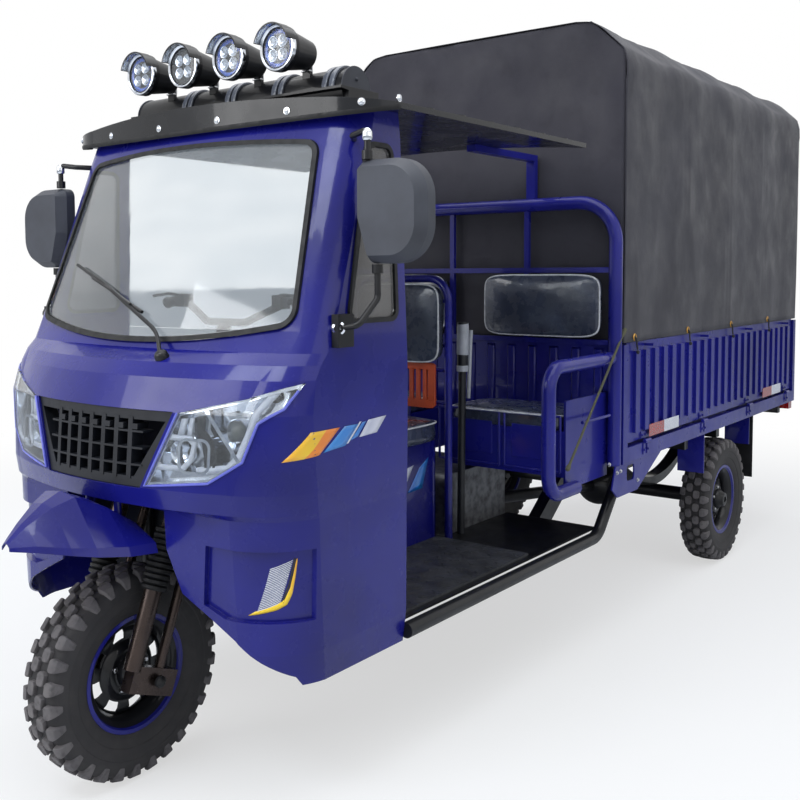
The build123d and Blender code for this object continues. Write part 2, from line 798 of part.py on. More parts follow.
# Driver's seat on its body cover
with BuildPart() as seat_pod:
    block((-165, -1040, floor_top_z), (165, -580, 760))
    fillet(seat_pod.edges().filter_by(Axis.Z), 50)
with BuildPart() as driver_seat:
    block((-190, -1060, 761), (190, -600, 850))
    fillet(driver_seat.edges().filter_by(Axis.Z), 60)
with BuildPart() as driver_backrest:
    block((-185, -640, 1040), (185, -583.3, 1320))
    fillet(driver_backrest.edges().filter_by(Axis.Y), 60)
with BuildPart() as backrest_frame:
    tube([(-205, -590, floor_top_z), (-205, -590, 1340), (205, -590, 1340), (205, -590, floor_top_z)], 80, 14)
    for z in (890, 1010, 1100, 1260):
        tube([(-205, -575, z), (205, -575, z)], 0, 8)
with BuildPart() as lumbar_plate:
    block((-150, -598, 870), (150, -583.3, 1035))
    with BuildSketch(Plane.XZ.offset(598)):
        with Locations((0, 952)):
            with GridLocations(92, 27, 3, 5):
                RectangleRounded(70, 11, 5)
    extrude(amount=-5, mode=Mode.SUBTRACT)

# Headboard hoop and its posts
with BuildPart() as headboard_hoop:
    w = hoop_half_width
    tube([(-w, hoop_y, 642), (-w, hoop_y, hoop_top_z), (w, hoop_y, hoop_top_z), (w, hoop_y, 642)],
         hoop_bend, hoop_radius)
    for z in (hoop_mid_z, hoop_low_z):
        block((-w, hoop_y - 8, z - 10), (w, hoop_y + 8, z + 10))
    for x in hoop_post_x:
        block((x - 10, hoop_y - 8, hoop_low_z), (x + 10, hoop_y + 8, hoop_top_z))
    roof_radius = (roof_half_width**2 + roof_crown**2) / (2 * roof_crown)
    roof_seat_z = roof_low_z + roof_crown - (roof_post_x + 18) ** 2 / (2 * roof_radius) - 0.2
    for x in (-roof_post_x, roof_post_x):
        block((x - 18, hoop_y - 12, hoop_top_z), (x + 18, hoop_y + 12, roof_seat_z))
        block((x - 18, roof_rear_y - 160, roof_seat_z - 24), (x + 18, hoop_y + 12, roof_seat_z))
with BuildPart() as headboard_panel:
    block((-601.7, hoop_y + 8.3, 645), (601.7, hoop_y + 11.3, hoop_low_z))
with BuildPart() as back_cushions:
    block((back_cushion_x[0], hoop_y - 8.3 - back_cushion_thickness, back_cushion_z[0]),
          (back_cushion_x[1], hoop_y - 8.3, back_cushion_z[1]))
    mirror(about=Plane.YZ)

# Passenger bench: boxes, cushions and guard rails
with BuildPart() as bench_box:
    block((bench_inner_x, bench_front_y, bench_low_z), (bench_outer_x - 8, bench_rear_y, bench_high_z))
    block((bench_outer_x - 8, bench_front_y, 602), (bench_outer_x, bench_rear_y, 915))
    mirror(about=Plane.YZ)
with BuildPart() as bench_cushions:
    block((bench_inner_x, bench_front_y - 5, bench_high_z + 0.3),
          (bench_outer_x - 12, hoop_y - 60, bench_cushion_top_z))
    mirror(about=Plane.YZ)
with BuildPart() as guard_rails:
    tube(
        [
            (guard_x, hoop_y - hoop_radius - seat_gap, guard_top_z),
            (guard_x, guard_front_y, guard_top_z),
            (guard_x, guard_front_y, guard_low_z),
            (guard_x, bench_front_y + 30, guard_low_z),
        ],
        75,
        guard_radius,
    )
    mirror(about=Plane.YZ)

# Hand lever beside the seat
with BuildPart() as hand_lever:
    tube([(200, -500, floor_top_z + seat_gap), (200, -490, 1010)], 0, 14)
    tube([(200, -490, 1010), (200, -486, 1180)], 0, 20)

# Bed floor with its edge rails
with BuildPart() as bed_floor:
    block((-bed_half_width + 40, bed_front_y, bed_floor_z - bed_floor_sheet),
          (bed_half_width - 40, bed_rear_y - 42, bed_floor_z))
    low_z = bed_floor_z - bed_edge_height
    block((bed_half_width - 50, bed_front_y, low_z), (bed_half_width, bed_rear_y, bed_floor_z - 8))
    mirror(about=Plane.YZ)
    block((-bed_half_width + 50, bed_rear_y - 50, low_z), (bed_half_width - 50, bed_rear_y, bed_floor_z - 8))


hook_shares = (0.08, 0.36, 0.64, 0.92)


def ribbed_panel(length):
    """A folded panel standing on its long edge, outer face towards -Y, from x = 0."""
    rib_count = int(length // panel_rib_pitch)
    start = (length - rib_count * panel_rib_pitch) / 2
    block((0, 0, 0), (length, panel_skin, panel_height))
    for edge_z in (0, panel_height - 30):
        block((0, 0, edge_z), (length, panel_thickness, edge_z + 30))
    for index in range(rib_count):
        x = start + (index + 0.5) * panel_rib_pitch
        block((x - 20, -12, 34), (x + 20, panel_skin, panel_height - 34))
    hook_x = [length * share for share in hook_shares]
    for x in hook_x:
        block((x - 5, -36, panel_height - 20), (x + 5, 0, panel_height - 10))


side_length = bed_rear_y - bed_front_y - 2 * (panel_post + panel_gap)
with BuildPart() as side_panel:
    ribbed_panel(side_length)
dropside_left = side_panel.part.moved(
    Location((bed_half_width - 12, bed_front_y + panel_post + panel_gap, bed_floor_z + panel_gap), (0, 0, 90))
)
dropside_right = dropside_left.mirror(Plane.YZ)
gate_length = 2 * (bed_half_width - panel_post - panel_gap)
with BuildPart() as gate_panel:
    ribbed_panel(gate_length)
tailgate = gate_panel.part.moved(
    Location((gate_length / 2, bed_rear_y - 12, bed_floor_z + panel_gap), (0, 0, 180))
)
with BuildPart() as bed_posts:
    for y in (bed_front_y, bed_rear_y - panel_post):
        block((bed_half_width - panel_post, y, bed_floor_z - 8),
              (bed_half_width, y + panel_post, bed_floor_z + panel_height))
    mirror(about=Plane.YZ)

# Tarp on its bows
bow_inset = 66.0
bow_pitch = (bed_rear_y - bed_front_y - 2 * bow_inset) / (bow_count - 1)
with BuildPart() as tarp_bows:
    leg_x = bed_half_width - 60
    top_x = bed_half_width - tarp_thickness - bow_radius - tarp_gap
    for index in range(bow_count):
        y = bed_front_y + bow_inset + index * bow_pitch
        tube(
            [
                (-leg_x, y, bed_floor_z),
                (-leg_x, y, tarp_hem_z - 10),
                (-top_x, y, tarp_hem_z + 150),
                (-top_x, y, tarp_eave_z - 12),
                (-tarp_crown_x + 8, y, tarp_crown_z - 20),
                (tarp_crown_x - 8, y, tarp_crown_z - 20),
                (top_x, y, tarp_eave_z - 12),
                (top_x, y, tarp_hem_z + 150),
                (leg_x, y, tarp_hem_z - 10),
                (leg_x, y, bed_floor_z),
            ],
            40,
            bow_radius,
        )
    for x in (-tarp_crown_x + 60, 0, tarp_crown_x - 60):
        tube([(x, bed_front_y + 10, tarp_crown_z - 20), (x, bed_rear_y - 10, tarp_crown_z - 20)], 0, 9)
with BuildPart() as tarp_sides:
    block((bed_half_width - tarp_thickness, bed_front_y, tarp_hem_z),
          (bed_half_width, bed_rear_y, tarp_eave_z))
    mirror(about=Plane.YZ)
with BuildPart() as tarp_roof:
    with BuildSketch(Plane.XZ.offset(-bed_rear_y)):
        with BuildLine():
            Polyline(
                (bed_half_width, tarp_eave_z),
                (tarp_crown_x, tarp_crown_z),
                (-tarp_crown_x, tarp_crown_z),
                (-bed_half_width, tarp_eave_z),
                (-bed_half_width + tarp_thickness + 1.5, tarp_eave_z),
                (-tarp_crown_x + 2, tarp_crown_z - tarp_thickness),
                (tarp_crown_x - 2, tarp_crown_z - tarp_thickness),
                (bed_half_width - tarp_thickness - 1.5, tarp_eave_z),
                close=True,
            )
        make_face()
    extrude(amount=bed_rear_y - bed_front_y)


def tarp_end(y):
    """A flat end sheet between the tarp's sides, from y towards the tail."""
    inner_x = bed_half_width - tarp_thickness
    with BuildSketch(Plane.XZ.offset(-y)) as sheet:
        with BuildLine():
            Polyline(
                (inner_x, tarp_hem_z),
                (inner_x, tarp_eave_z - 2),
                (tarp_crown_x - 4, tarp_crown_z - tarp_thickness - 0.3),
                (-tarp_crown_x + 4, tarp_crown_z - tarp_thickness - 0.3),
                (-inner_x, tarp_eave_z - 2),
                (-inner_x, tarp_hem_z),
                close=True,
            )
        make_face()
    extrude(sheet.sketch, amount=tarp_thickness)


with BuildPart() as tarp_front:
    tarp_end(bed_front_y + tarp_thickness)
with BuildPart() as tarp_rear:
    tarp_end(bed_rear_y)

# Gussets between the step rail and the bed, mudguards, flaps and rear lamps
with BuildPart() as gussets:
    with BuildSketch(Plane.YZ.offset(bed_half_width - 12)):
        with BuildLine():
            Polyline((-140, 641.7), (-170, 560), (-120, 523), (60, 523), (300, 641.7), close=True)
        make_face()
        with Locations((-6, 600)):
            RectangleRounded(70, 60, 15, mode=Mode.SUBTRACT)
    extrude(amount=6)
    mirror(about=Plane.YZ)
with BuildPart() as mudguards:
    block((520, 810, 460), (640, 816, 641.7))
    block((520, 1450, 500), (640, 1456, 641.7))
    mirror(about=Plane.YZ)
with BuildPart() as mud_flaps:
    block((515, 1490, 330), (645, 1496, 641.7))
    mirror(about=Plane.YZ)
with BuildPart() as rear_lamps:
    block((420, bed_rear_y - 60, 600), (640, bed_rear_y - 4, 641.7))
    mirror(about=Plane.YZ)

# Rear axle with its differential housing and leaf springs
with BuildPart() as rear_axle:
    tube([(-505, rear_axle_y, wheel_radius), (505, rear_axle_y, wheel_radius)], 0, 32)
    with Locations((0, rear_axle_y, wheel_radius)):
        Sphere(110)
    tube([(-635, rear_axle_y, wheel_radius), (635, rear_axle_y, wheel_radius)], 0, 13.9)
    tube([(0, rear_axle_y - 100, wheel_radius), (0, -127, 420)], 0, 26)
spring_half = 420.0
spring_x = 245.0
with BuildPart() as leaf_springs:
    with BuildSketch(Plane.YZ.offset(spring_x)):
        with BuildLine():
            ThreePointArc(
                (rear_axle_y - spring_half, frame_high_z - 18),
                (rear_axle_y, wheel_radius + 32.3),
                (rear_axle_y + spring_half, frame_high_z - 18),
            )
            Line((rear_axle_y + spring_half, frame_high_z - 18), (rear_axle_y + spring_half, frame_high_z - seat_gap))
            ThreePointArc(
                (rear_axle_y + spring_half, frame_high_z - seat_gap),
                (rear_axle_y, wheel_radius + 75),
                (rear_axle_y - spring_half, frame_high_z - seat_gap),
            )
            Line((rear_axle_y - spring_half, frame_high_z - seat_gap), (rear_axle_y - spring_half, frame_high_z - 18))
        make_face()
    extrude(amount=60)
    mirror(about=Plane.YZ)


# Steering: fork with two crowns, stem and legs, all square to the raked axis
def fork_point(x, lead, z_along):
    """A point beside the steering axis: x across, lead ahead of it, z_along up it."""
    direction = Vector(0, sin(radians(rake)), cos(radians(rake)))
    ahead = Vector(0, -cos(radians(rake)), sin(radians(rake)))
    foot = Vector(0, steering_foot_y, wheel_radius)
    return foot + Vector(x, 0, 0) + ahead * lead + direction * z_along


fork_plane = Plane(origin=fork_point(0, 0, 0), x_dir=(1, 0, 0), z_dir=fork_point(0, 0, 1) - fork_point(0, 0, 0))
leg_lead = 108.0
damper_lead = 16.0
leg_top = 500.0
stem_top = 988.7
with BuildPart() as fork:
    for x in (-fork_leg_x, fork_leg_x):
        tube([fork_point(x, leg_lead, 6), fork_point(x, leg_lead, leg_top)], 0, fork_leg_radius)
        tube([fork_point(x, damper_lead, 0), fork_point(x, damper_lead, leg_top)], 0, fork_damper_radius)
    with BuildSketch(fork_plane.offset(leg_top - 30)):
        with Locations((0, -58)):
            RectangleRounded(284, 164, 20)
    extrude(amount=26)
    tube([fork_point(0, 0, leg_top - 20), fork_point(0, 0, stem_top)], 0, stem_radius)
    for x in (-fork_leg_x, fork_leg_x):
        with Locations(Location((x, front_axle_y - 10, wheel_radius), (-rake, 0, 0))):
            Box(36, 150, 70)
    tube([(-fork_leg_x, front_axle_y, wheel_radius), (fork_leg_x, front_axle_y, wheel_radius)], 0, 13.9)
with BuildPart() as handlebar:
    bar = [fork_point(x, lead, up) for x, lead, up in (
        (-345, -50, 1075), (-225, -15, 1075), (-80, 0, 1000), (80, 0, 1000), (225, -15, 1075), (345, -50, 1075))]
    tube(bar, 40, handlebar_radius)
# Front fender: a folded beak under the nose lip, hung from it on two posts
# Columns: y, edge x, edge z, belt x, belt z, ridge x, ridge z, top z
fender_sections = [
    (-2224.0, 18.0, 694.0, 17.0, 703.0, 9.0, 711.0, 714.5),
    (-2180.0, 72.0, 690.0, 66.0, 706.0, 22.0, 748.0, 752.0),
    (-2120.0, 124.0, 678.0, 116.0, 696.0, 42.0, 786.0, 792.0),
    (-2068.0, 156.0, 668.0, 147.0, 690.0, 62.0, 806.0, 814.0),
    (-1990.0, 180.0, 656.0, 171.0, 680.0, 88.0, 768.0, 780.0),
    (-1912.0, 190.0, 650.0, 181.0, 676.0, 100.0, 716.0, 730.0),
]
fender_sheet = 4.0
fender_post_x = 60.0
fender_post_y = -1936.0


def fender_outline(row):
    """One upright section of the fender's sheet."""
    y, edge_x, edge_z, belt_x, belt_z, ridge_x, ridge_z, top_z = row
    outer = [(edge_x, edge_z), (belt_x, belt_z), (ridge_x, ridge_z)]
    inner = [(x - fender_sheet * share, z - fender_sheet * (1 - share)) for (x, z), share in zip(outer, (1, 0.9, 0.5))]
    left_outer = [(-x, z) for x, z in reversed(outer)]
    left_inner = [(-x, z) for x, z in inner]
    with BuildSketch(Plane.XZ.offset(-y)) as section:
        with BuildLine():
            Polyline(
                *outer,
                (0, top_z),
                *left_outer,
                *left_inner,
                (0, top_z - fender_sheet),
                *reversed(inner),
                close=True,
            )
        make_face()
    return section.sketch


with BuildPart() as front_fender:
    loft([fender_outline(row) for row in fender_sections], ruled=True)
    with BuildSketch(Plane.XY.offset(733)):
        with Locations((-fender_post_x, fender_post_y), (fender_post_x, fender_post_y)):
            Circle(10)
    extrude(amount=60)
    add(cab_solid(-seat_gap, cab_rear_y), mode=Mode.SUBTRACT)


def rim_at(centre):
    """A wheel disc with its rim, axle along X."""
    x, y, z = centre
    half = rim_width / 2
    with BuildSketch(Plane.XY.offset(0)) as profile:
        with BuildLine():
            Polyline(
                (-half, rim_well_radius + 18),
                (-half, rim_flange_radius),
                (-half + 8, rim_flange_radius),
                (-half + 14, rim_well_radius + 12),
                (half - 14, rim_well_radius + 12),
                (half - 8, rim_flange_radius),
                (half, rim_flange_radius),
                (half, rim_well_radius + 18),
                (half - 12, rim_well_radius),
                (8, rim_well_radius),
                (8, hub_radius),
                (hub_width / 2, hub_radius),
                (hub_width / 2, 14),
                (-hub_width / 2, 14),
                (-hub_width / 2, hub_radius),
                (-8, hub_radius),
                (-8, rim_well_radius),
                (-half + 12, rim_well_radius),
                close=True,
            )
        make_face()
    revolve(profile.sketch, axis=Axis.X)


def polygon_loft(rows):
    """A ruled drum of level-sided polygons along X. Columns: x, distance to a flat."""
    sections = []
    for x, flat in rows:
        with BuildSketch(Plane.YZ.offset(x)) as section:
            RegularPolygon(flat, tread_facets, major_radius=False, rotation=180 / tread_facets)
        sections.append(section.sketch)
    return loft(sections, ruled=True, mode=Mode.PRIVATE)


def tyre_at():
    """A tyre on its rim, axle along X: a faceted drum with two staggered rows of lugs."""
    half, side_x = rim_width / 2, tyre_width / 2
    base = wheel_radius - lug_height
    outer = [(half + 2, rim_flange_radius + 6), (side_x - 3, 205), (side_x, 235), (side_x - 18, base)]
    add(polygon_loft([(-x, flat) for x, flat in outer] + [(x, flat) for x, flat in reversed(outer)]))
    seat = [(side_x, rim_flange_radius + 0.4), (half - 8.3, rim_flange_radius + 0.4),
            (half - 14.5, rim_well_radius + 12.3)]
    add(polygon_loft([(-x, flat) for x, flat in seat] + [(x, flat) for x, flat in reversed(seat)]),
        mode=Mode.SUBTRACT)
    lug_planes = []
    for index in range(tread_facets):
        turn = radians(360 * index / tread_facets - 90)
        side = 1 if index % 2 else -1
        lug_planes.append(Plane(origin=(0, 0, 0), x_dir=(side, 0, 0), z_dir=(0, -side * sin(turn), side * cos(turn))))
    with BuildSketch(*lug_planes) as lugs:
        with BuildLine():
            Polyline(
                (5, base - 12),
                (5, wheel_radius),
                (side_x - 20, wheel_radius - 1),
                (side_x - 3, 252),
                (side_x - 12, 248),
                close=True,
            )
        make_face()
    extrude(lugs.sketch, amount=lug_width / 2, both=True)


wheel_places = {
    "front": (0, front_axle_y, wheel_radius),
    "rear_left": (rear_wheel_x, rear_axle_y, wheel_radius),
    "rear_right": (-rear_wheel_x, rear_axle_y, wheel_radius),
}
with BuildPart() as rim:
    rim_at((0, 0, 0))
    with BuildSketch(Plane.YZ.offset(-20)):
        with PolarLocations((rim_well_radius + hub_radius) / 2 + 3, rim_slots):
            RectangleRounded(24, 34, 8)
    extrude(amount=40, mode=Mode.SUBTRACT)
with BuildPart() as tyre:
    tyre_at()


def keep(name, piece):
    """Label a finished piece and write it."""
    piece.label = name
    export_step(piece, f"parts/{name}.step")


os.makedirs("parts", exist_ok=True)
keep("cab_shell", cab_shell.part)
keep("screen_glass", screen_glass.part)
keep("screen_seal", screen_seal.part)
keep("quarter_glass", quarter_glass.part)
keep("quarter_seal", quarter_seal.part)
keep("grille", grille.part)
keep("headlamp_housing", headlamp_housing.part)
keep("headlamp_lens", headlamp_lens.part)
for name, piece in (
    ("roof_panel", roof_panel.part),
    ("light_bar", light_bar.part),
    ("roof_lamps", roof_lamps.part),
    ("bulkhead", bulkhead.part),
    ("mirror_arms", mirror_arms.part),
    ("mirror_heads", mirror_heads.part),
    ("wiper", wiper.part),
    ("chassis_frame", chassis_frame.part),
    ("rear_frame", rear_frame.part),
    ("bed_bearers", bed_bearers.part),
    ("head_frame", head_frame.part),
    ("engine_block", engine_block.part),
    ("step_floor", step_floor.part),
    ("floor_mat", floor_mat.part),
    ("side_rails", side_rails.part),
    ("seat_pod", seat_pod.part),
    ("driver_seat", driver_seat.part),
    ("driver_backrest", driver_backrest.part),
    ("backrest_frame", backrest_frame.part),
    ("lumbar_plate", lumbar_plate.part),
    ("headboard_hoop", headboard_hoop.part),
    ("headboard_panel", headboard_panel.part),
    ("back_cushions", back_cushions.part),
    ("bench_box", bench_box.part),
    ("bench_cushions", bench_cushions.part),
    ("guard_rails", guard_rails.part),
    ("hand_lever", hand_lever.part),
    ("bed_floor", bed_floor.part),
    ("dropside_left", dropside_left),
    ("dropside_right", dropside_right),
    ("tailgate", tailgate),
    ("bed_posts", bed_posts.part),
    ("tarp_bows", tarp_bows.part),
    ("tarp_sides", tarp_sides.part),
    ("tarp_roof", tarp_roof.part),
    ("tarp_front", tarp_front.part),
    ("tarp_rear", tarp_rear.part),
    ("gussets", gussets.part),
    ("mudguards", mudguards.part),
    ("mud_flaps", mud_flaps.part),
    ("rear_lamps", rear_lamps.part),
    ("rear_axle", rear_axle.part),
    ("leaf_springs", leaf_springs.part),
    ("fork", fork.part),
    ("handlebar", handlebar.part),
    ("front_fender", front_fender.part),
):
    keep(name, piece)
for name, place in wheel_places.items():
    keep(f"{name}_rim", rim.part.moved(Location(place)))
    keep(f"{name}_tyre", tyre.part.moved(Location(place)))
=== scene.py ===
"""Looks of the cargo tricycle: materials, tarp, cushions, tread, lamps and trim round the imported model."""

import json
import math

import bmesh
import bpy
from mathutils import Matrix, Vector, noise


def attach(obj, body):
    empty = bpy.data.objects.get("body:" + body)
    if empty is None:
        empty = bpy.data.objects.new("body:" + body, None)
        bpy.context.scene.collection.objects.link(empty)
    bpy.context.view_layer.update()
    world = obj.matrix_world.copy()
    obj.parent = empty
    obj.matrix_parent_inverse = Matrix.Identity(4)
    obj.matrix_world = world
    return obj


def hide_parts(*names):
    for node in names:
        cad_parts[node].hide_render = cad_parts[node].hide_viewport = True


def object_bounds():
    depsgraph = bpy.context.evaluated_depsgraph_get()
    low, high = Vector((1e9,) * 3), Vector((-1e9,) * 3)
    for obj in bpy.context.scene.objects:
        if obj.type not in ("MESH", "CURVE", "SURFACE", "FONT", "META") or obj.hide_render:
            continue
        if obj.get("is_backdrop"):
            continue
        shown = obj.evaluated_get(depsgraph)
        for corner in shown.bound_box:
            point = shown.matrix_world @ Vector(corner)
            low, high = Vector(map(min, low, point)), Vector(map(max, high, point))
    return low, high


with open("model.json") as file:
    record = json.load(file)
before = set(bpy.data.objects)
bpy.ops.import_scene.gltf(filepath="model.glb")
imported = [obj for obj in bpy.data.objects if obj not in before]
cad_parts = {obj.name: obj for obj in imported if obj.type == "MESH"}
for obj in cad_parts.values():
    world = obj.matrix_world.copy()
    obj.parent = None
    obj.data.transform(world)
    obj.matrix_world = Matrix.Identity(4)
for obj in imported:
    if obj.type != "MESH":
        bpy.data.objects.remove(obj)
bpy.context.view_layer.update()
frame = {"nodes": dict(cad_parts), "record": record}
nodes = frame["nodes"]

MM = 0.001


def srgb(red, green, blue):
    """A colour given as 0 to 255 a channel, as the linear values a shader takes."""
    values = []
    for value in (red, green, blue):
        share = value / 255
        values.append(share / 12.92 if share <= 0.04045 else ((share + 0.055) / 1.055) ** 2.4)
    return (*values, 1.0)


def smooth_step(value, low, high):
    """0 below low, 1 above high, eased between."""
    share = min(1.0, max(0.0, (value - low) / (high - low)))
    return share * share * (3 - 2 * share)


def shader_node(tree, kind, inputs=None, **settings):
    """A node whose inputs take values or the outputs of other nodes."""
    made = tree.nodes.new(kind)
    for key, value in settings.items():
        setattr(made, key, value)
    for key, value in (inputs or {}).items():
        if hasattr(value, "links"):
            tree.links.new(value, made.inputs[key])
        else:
            made.inputs[key].default_value = value
    return made


class Look:
    """A procedural material, built up node by node."""

    def __init__(self, name, colour, roughness, metallic=0.0, coat=0.0, **sockets):
        self.mat = bpy.data.materials.new(name)
        self.mat.use_nodes = True
        self.tree = self.mat.node_tree
        self.shader = self.tree.nodes["Principled BSDF"]
        self.colour = colour
        self.roughness = roughness
        self.coordinates = None
        self.shader.inputs["Base Color"].default_value = colour
        self.shader.inputs["Roughness"].default_value = roughness
        self.shader.inputs["Metallic"].default_value = metallic
        self.shader.inputs["Coat Weight"].default_value = coat
        self.shader.inputs["Coat Roughness"].default_value = 0.04
        for socket, value in sockets.items():
            self.shader.inputs[socket.replace("_", " ")].default_value = value

    def node(self, kind, inputs=None, **settings):
        return shader_node(self.tree, kind, inputs, **settings)

    def place(self, stretch=(1, 1, 1)):
        if self.coordinates is None:
            self.coordinates = self.node("ShaderNodeTexCoord").outputs["Object"]
        return self.node("ShaderNodeMapping", {"Vector": self.coordinates, "Scale": stretch}).outputs[0]

    def noise(self, scale, detail=4.0, stretch=(1, 1, 1), roughness=0.55):
        made = self.node(
            "ShaderNodeTexNoise",
            {"Vector": self.place(stretch), "Scale": scale, "Detail": detail, "Roughness": roughness},
        )
        return made.outputs["Fac"]

    def wave(self, scale, direction="X", distortion=0.0):
        made = self.node(
            "ShaderNodeTexWave",
            {"Vector": self.place(), "Scale": scale, "Distortion": distortion},
            bands_direction=direction,
        )
        return made.outputs["Fac"]

    def cells(self, scale, stretch=(1, 1, 1), feature="F1"):
        made = self.node(
            "ShaderNodeTexVoronoi",
            {"Vector": self.place(stretch), "Scale": scale},
            feature=feature,
        )
        return made.outputs["Distance"]

    def maths(self, kind, first, second=0.5):
        return self.node("ShaderNodeMath", {0: first, 1: second}, operation=kind).outputs[0]

    def span(self, source, low, high, start=0.0, end=1.0):
        made = self.node(
            "ShaderNodeMapRange",
            {"Value": source, "From Min": low, "From Max": high, "To Min": start, "To Max": end},
        )
        return made.outputs[0]

    def tones(self, other, source, low=0.4, high=0.6):
        """Blends the base colour to another where the source is high."""
        socket = self.shader.inputs["Base Color"]
        mix = self.node("ShaderNodeMix", data_type="RGBA")
        self.tree.links.new(self.span(source, low, high), mix.inputs["Factor"])
        if socket.links:
            self.tree.links.new(socket.links[0].from_socket, mix.inputs[6])
        else:
            mix.inputs[6].default_value = self.colour
        mix.inputs[7].default_value = other
        self.tree.links.new(mix.outputs[2], socket)
        return self

    def worn(self, source, start, end, low=0.35, high=0.65):
        """Roughness that follows the source."""
        self.tree.links.new(self.span(source, low, high, start, end), self.shader.inputs["Roughness"])
        return self

    def mottle(self, other, scale, detail, low, high):
        """Soft patches of another colour."""
        return self.tones(srgb(*other), self.noise(scale, detail), low, high)

    def wear(self, scale, detail, start, end):
        """Roughness that drifts in patches."""
        return self.worn(self.noise(scale, detail), start, end)

    def grain(self, scale, detail, strength, distance):
        """Fine uneven relief."""
        return self.bump(self.noise(scale, detail), strength, distance)

    def soften(self, radius):
        """Edges that catch the light as if they were rounded."""
        made = self.node("ShaderNodeBevel", {"Radius": radius}, samples=4)
        self.tree.links.new(made.outputs[0], self.shader.inputs["Normal"])
        return self

    def bump(self, source, strength, distance):
        """Relief from the source, distance in metres."""
        socket = self.shader.inputs["Normal"]
        made = self.node("ShaderNodeBump", {"Strength": strength, "Distance": distance, "Height": source})
        if socket.links:
            self.tree.links.new(socket.links[0].from_socket, made.inputs["Normal"])
        self.tree.links.new(made.outputs[0], socket)
        return self


def painted(name, colour, dark, roughness=0.22):
    """Gloss paint with a little orange peel and dust."""
    look = Look(name, srgb(*colour), roughness, coat=0.3, Specular_IOR_Level=0.2)
    look.soften(0.002)
    look.mottle(dark, 2.2, 3, 0.35, 0.75)
    look.worn(look.noise(9, 6), roughness - 0.05, roughness + 0.12)
    return look.grain(190, 2, 0.06, 0.0008)


def mottled(name, colour, other, roughness, scale, detail, low=0.4, high=0.7, **rest):
    """A look whose colour drifts to another in soft patches."""
    return Look(name, srgb(*colour), roughness, **rest).mottle(other, scale, detail, low, high)


def laid_rope(name, colour, other):
    """A rope whose strands show as bands."""
    look = Look(name, srgb(*colour), 0.85)
    look.tones(srgb(*other), look.wave(160, "Z", 2.0), 0.4, 0.7)
    return look.bump(look.wave(160, "Z", 2.0), 0.5, 0.001)


blue_paint = painted("blue_gloss_paint", (24, 26, 122), (15, 16, 90))
frame_blue = painted("blue_frame_paint", (31, 33, 132), (20, 22, 98), 0.3)
# This pale blue is the blue paint's lit colour: a painted highlight for the headlamp surround's lip.
painted_highlight_blue = painted("painted_highlight_lip", (112, 118, 214), (86, 92, 190), 0.2)
grey_gloss = painted("grey_gloss_rings", (96, 100, 110), (74, 78, 88))
black_paint = painted("black_powder_coat", (20, 21, 25), (13, 14, 17), 0.42)
gloss_black = painted("gloss_black_moulding", (15, 18, 24), (10, 12, 16), 0.24)
grille_black = mottled(
    "satin_black_plastic", (24, 27, 34), (16, 18, 24), 0.42, 14, 5, 0.35, 0.7, Specular_IOR_Level=0.35
)
grille_black.wear(30, 4, 0.34, 0.52).grain(900, 2, 0.1, 0.0004)
mirror_plastic = mottled(
    "grained_grey_plastic", (66, 69, 77), (52, 54, 61), 0.55, 7, 4, 0.35, 0.7, Specular_IOR_Level=0.35
)
mirror_plastic.bump(mirror_plastic.cells(700), 0.25, 0.0005)
rubber = mottled("black_rubber", (16, 17, 19), (26, 27, 30), 0.45, 20, 5, 0.4, 0.75, Specular_IOR_Level=0.3)
rubber.wear(45, 4, 0.42, 0.66).grain(600, 2, 0.08, 0.0004)
# The tread rubber is coloured lighter than the carcass rubber: partly rubber, partly a painted highlight
# raised toward the light that the tread tops catch.
tread_rubber_and_highlight = mottled("tread_rubber_and_highlight", (86, 83, 85), (102, 98, 98), 0.78, 16, 7, 0.42, 0.72)
tread_rubber_and_highlight.mottle((66, 64, 66), 60, 4, 0.5, 0.8).wear(30, 4, 0.68, 0.9).grain(420, 3, 0.2, 0.0008)
clear_glass = Look(
    "windscreen_glass", srgb(236, 241, 244), 0.02, Transmission_Weight=0.95, IOR=1.45, Specular_IOR_Level=0.6
)
clear_glass.tones(srgb(216, 224, 230), clear_glass.noise(1.5, 2, (1, 1, 3)), 0.35, 0.65)
clear_glass.wear(6, 5, 0.01, 0.06)
quarter_tint = mottled(
    "side_glass", (150, 148, 146), (120, 118, 118), 0.03, 2, 2, 0.35, 0.65, Transmission_Weight=0.7, IOR=1.45
)
quarter_tint.wear(6, 5, 0.0, 0.03)
lens_clear = Look("clear_lens", srgb(240, 244, 248), 0.02, Transmission_Weight=0.96, IOR=1.35)
lens_clear.wear(20, 3, 0.01, 0.05)
chrome = mottled("chrome", (226, 230, 236), (178, 184, 196), 0.08, 18, 3, metallic=1.0)
chrome.wear(40, 4, 0.05, 0.18)
steel = mottled("zinc_plated_steel", (190, 192, 196), (140, 140, 142), 0.3, 60, 5, metallic=1.0)
steel.wear(90, 4, 0.22, 0.45)
brass = mottled("brass", (196, 152, 76), (150, 108, 50), 0.32, 80, 4, metallic=1.0)
brass.wear(90, 4, 0.25, 0.45)
cast_metal = mottled("cast_aluminium", (120, 122, 126), (72, 72, 76), 0.5, 30, 6, metallic=0.85)
cast_metal.grain(500, 3, 0.3, 0.0006)
fork_metal = Look("dark_bronze_tube", srgb(70, 60, 56), 0.3, 0.8)
fork_metal.tones(srgb(46, 40, 40), fork_metal.noise(12, 4, (1, 1, 0.2)), 0.4, 0.7)
fork_metal.wear(40, 4, 0.2, 0.4)
vinyl = mottled("wrapped_vinyl", (50, 56, 72), (72, 80, 98), 0.3, 9, 6, 0.45, 0.75, coat=0.55)
vinyl.wear(26, 5, 0.16, 0.42)
vinyl.bump(vinyl.noise(38, 5, (1, 1, 1.6)), 0.35, 0.003)
piping = mottled("pale_piping", (206, 208, 212), (176, 178, 184), 0.5, 60, 3)
piping.bump(piping.wave(420, "X"), 0.2, 0.0004)
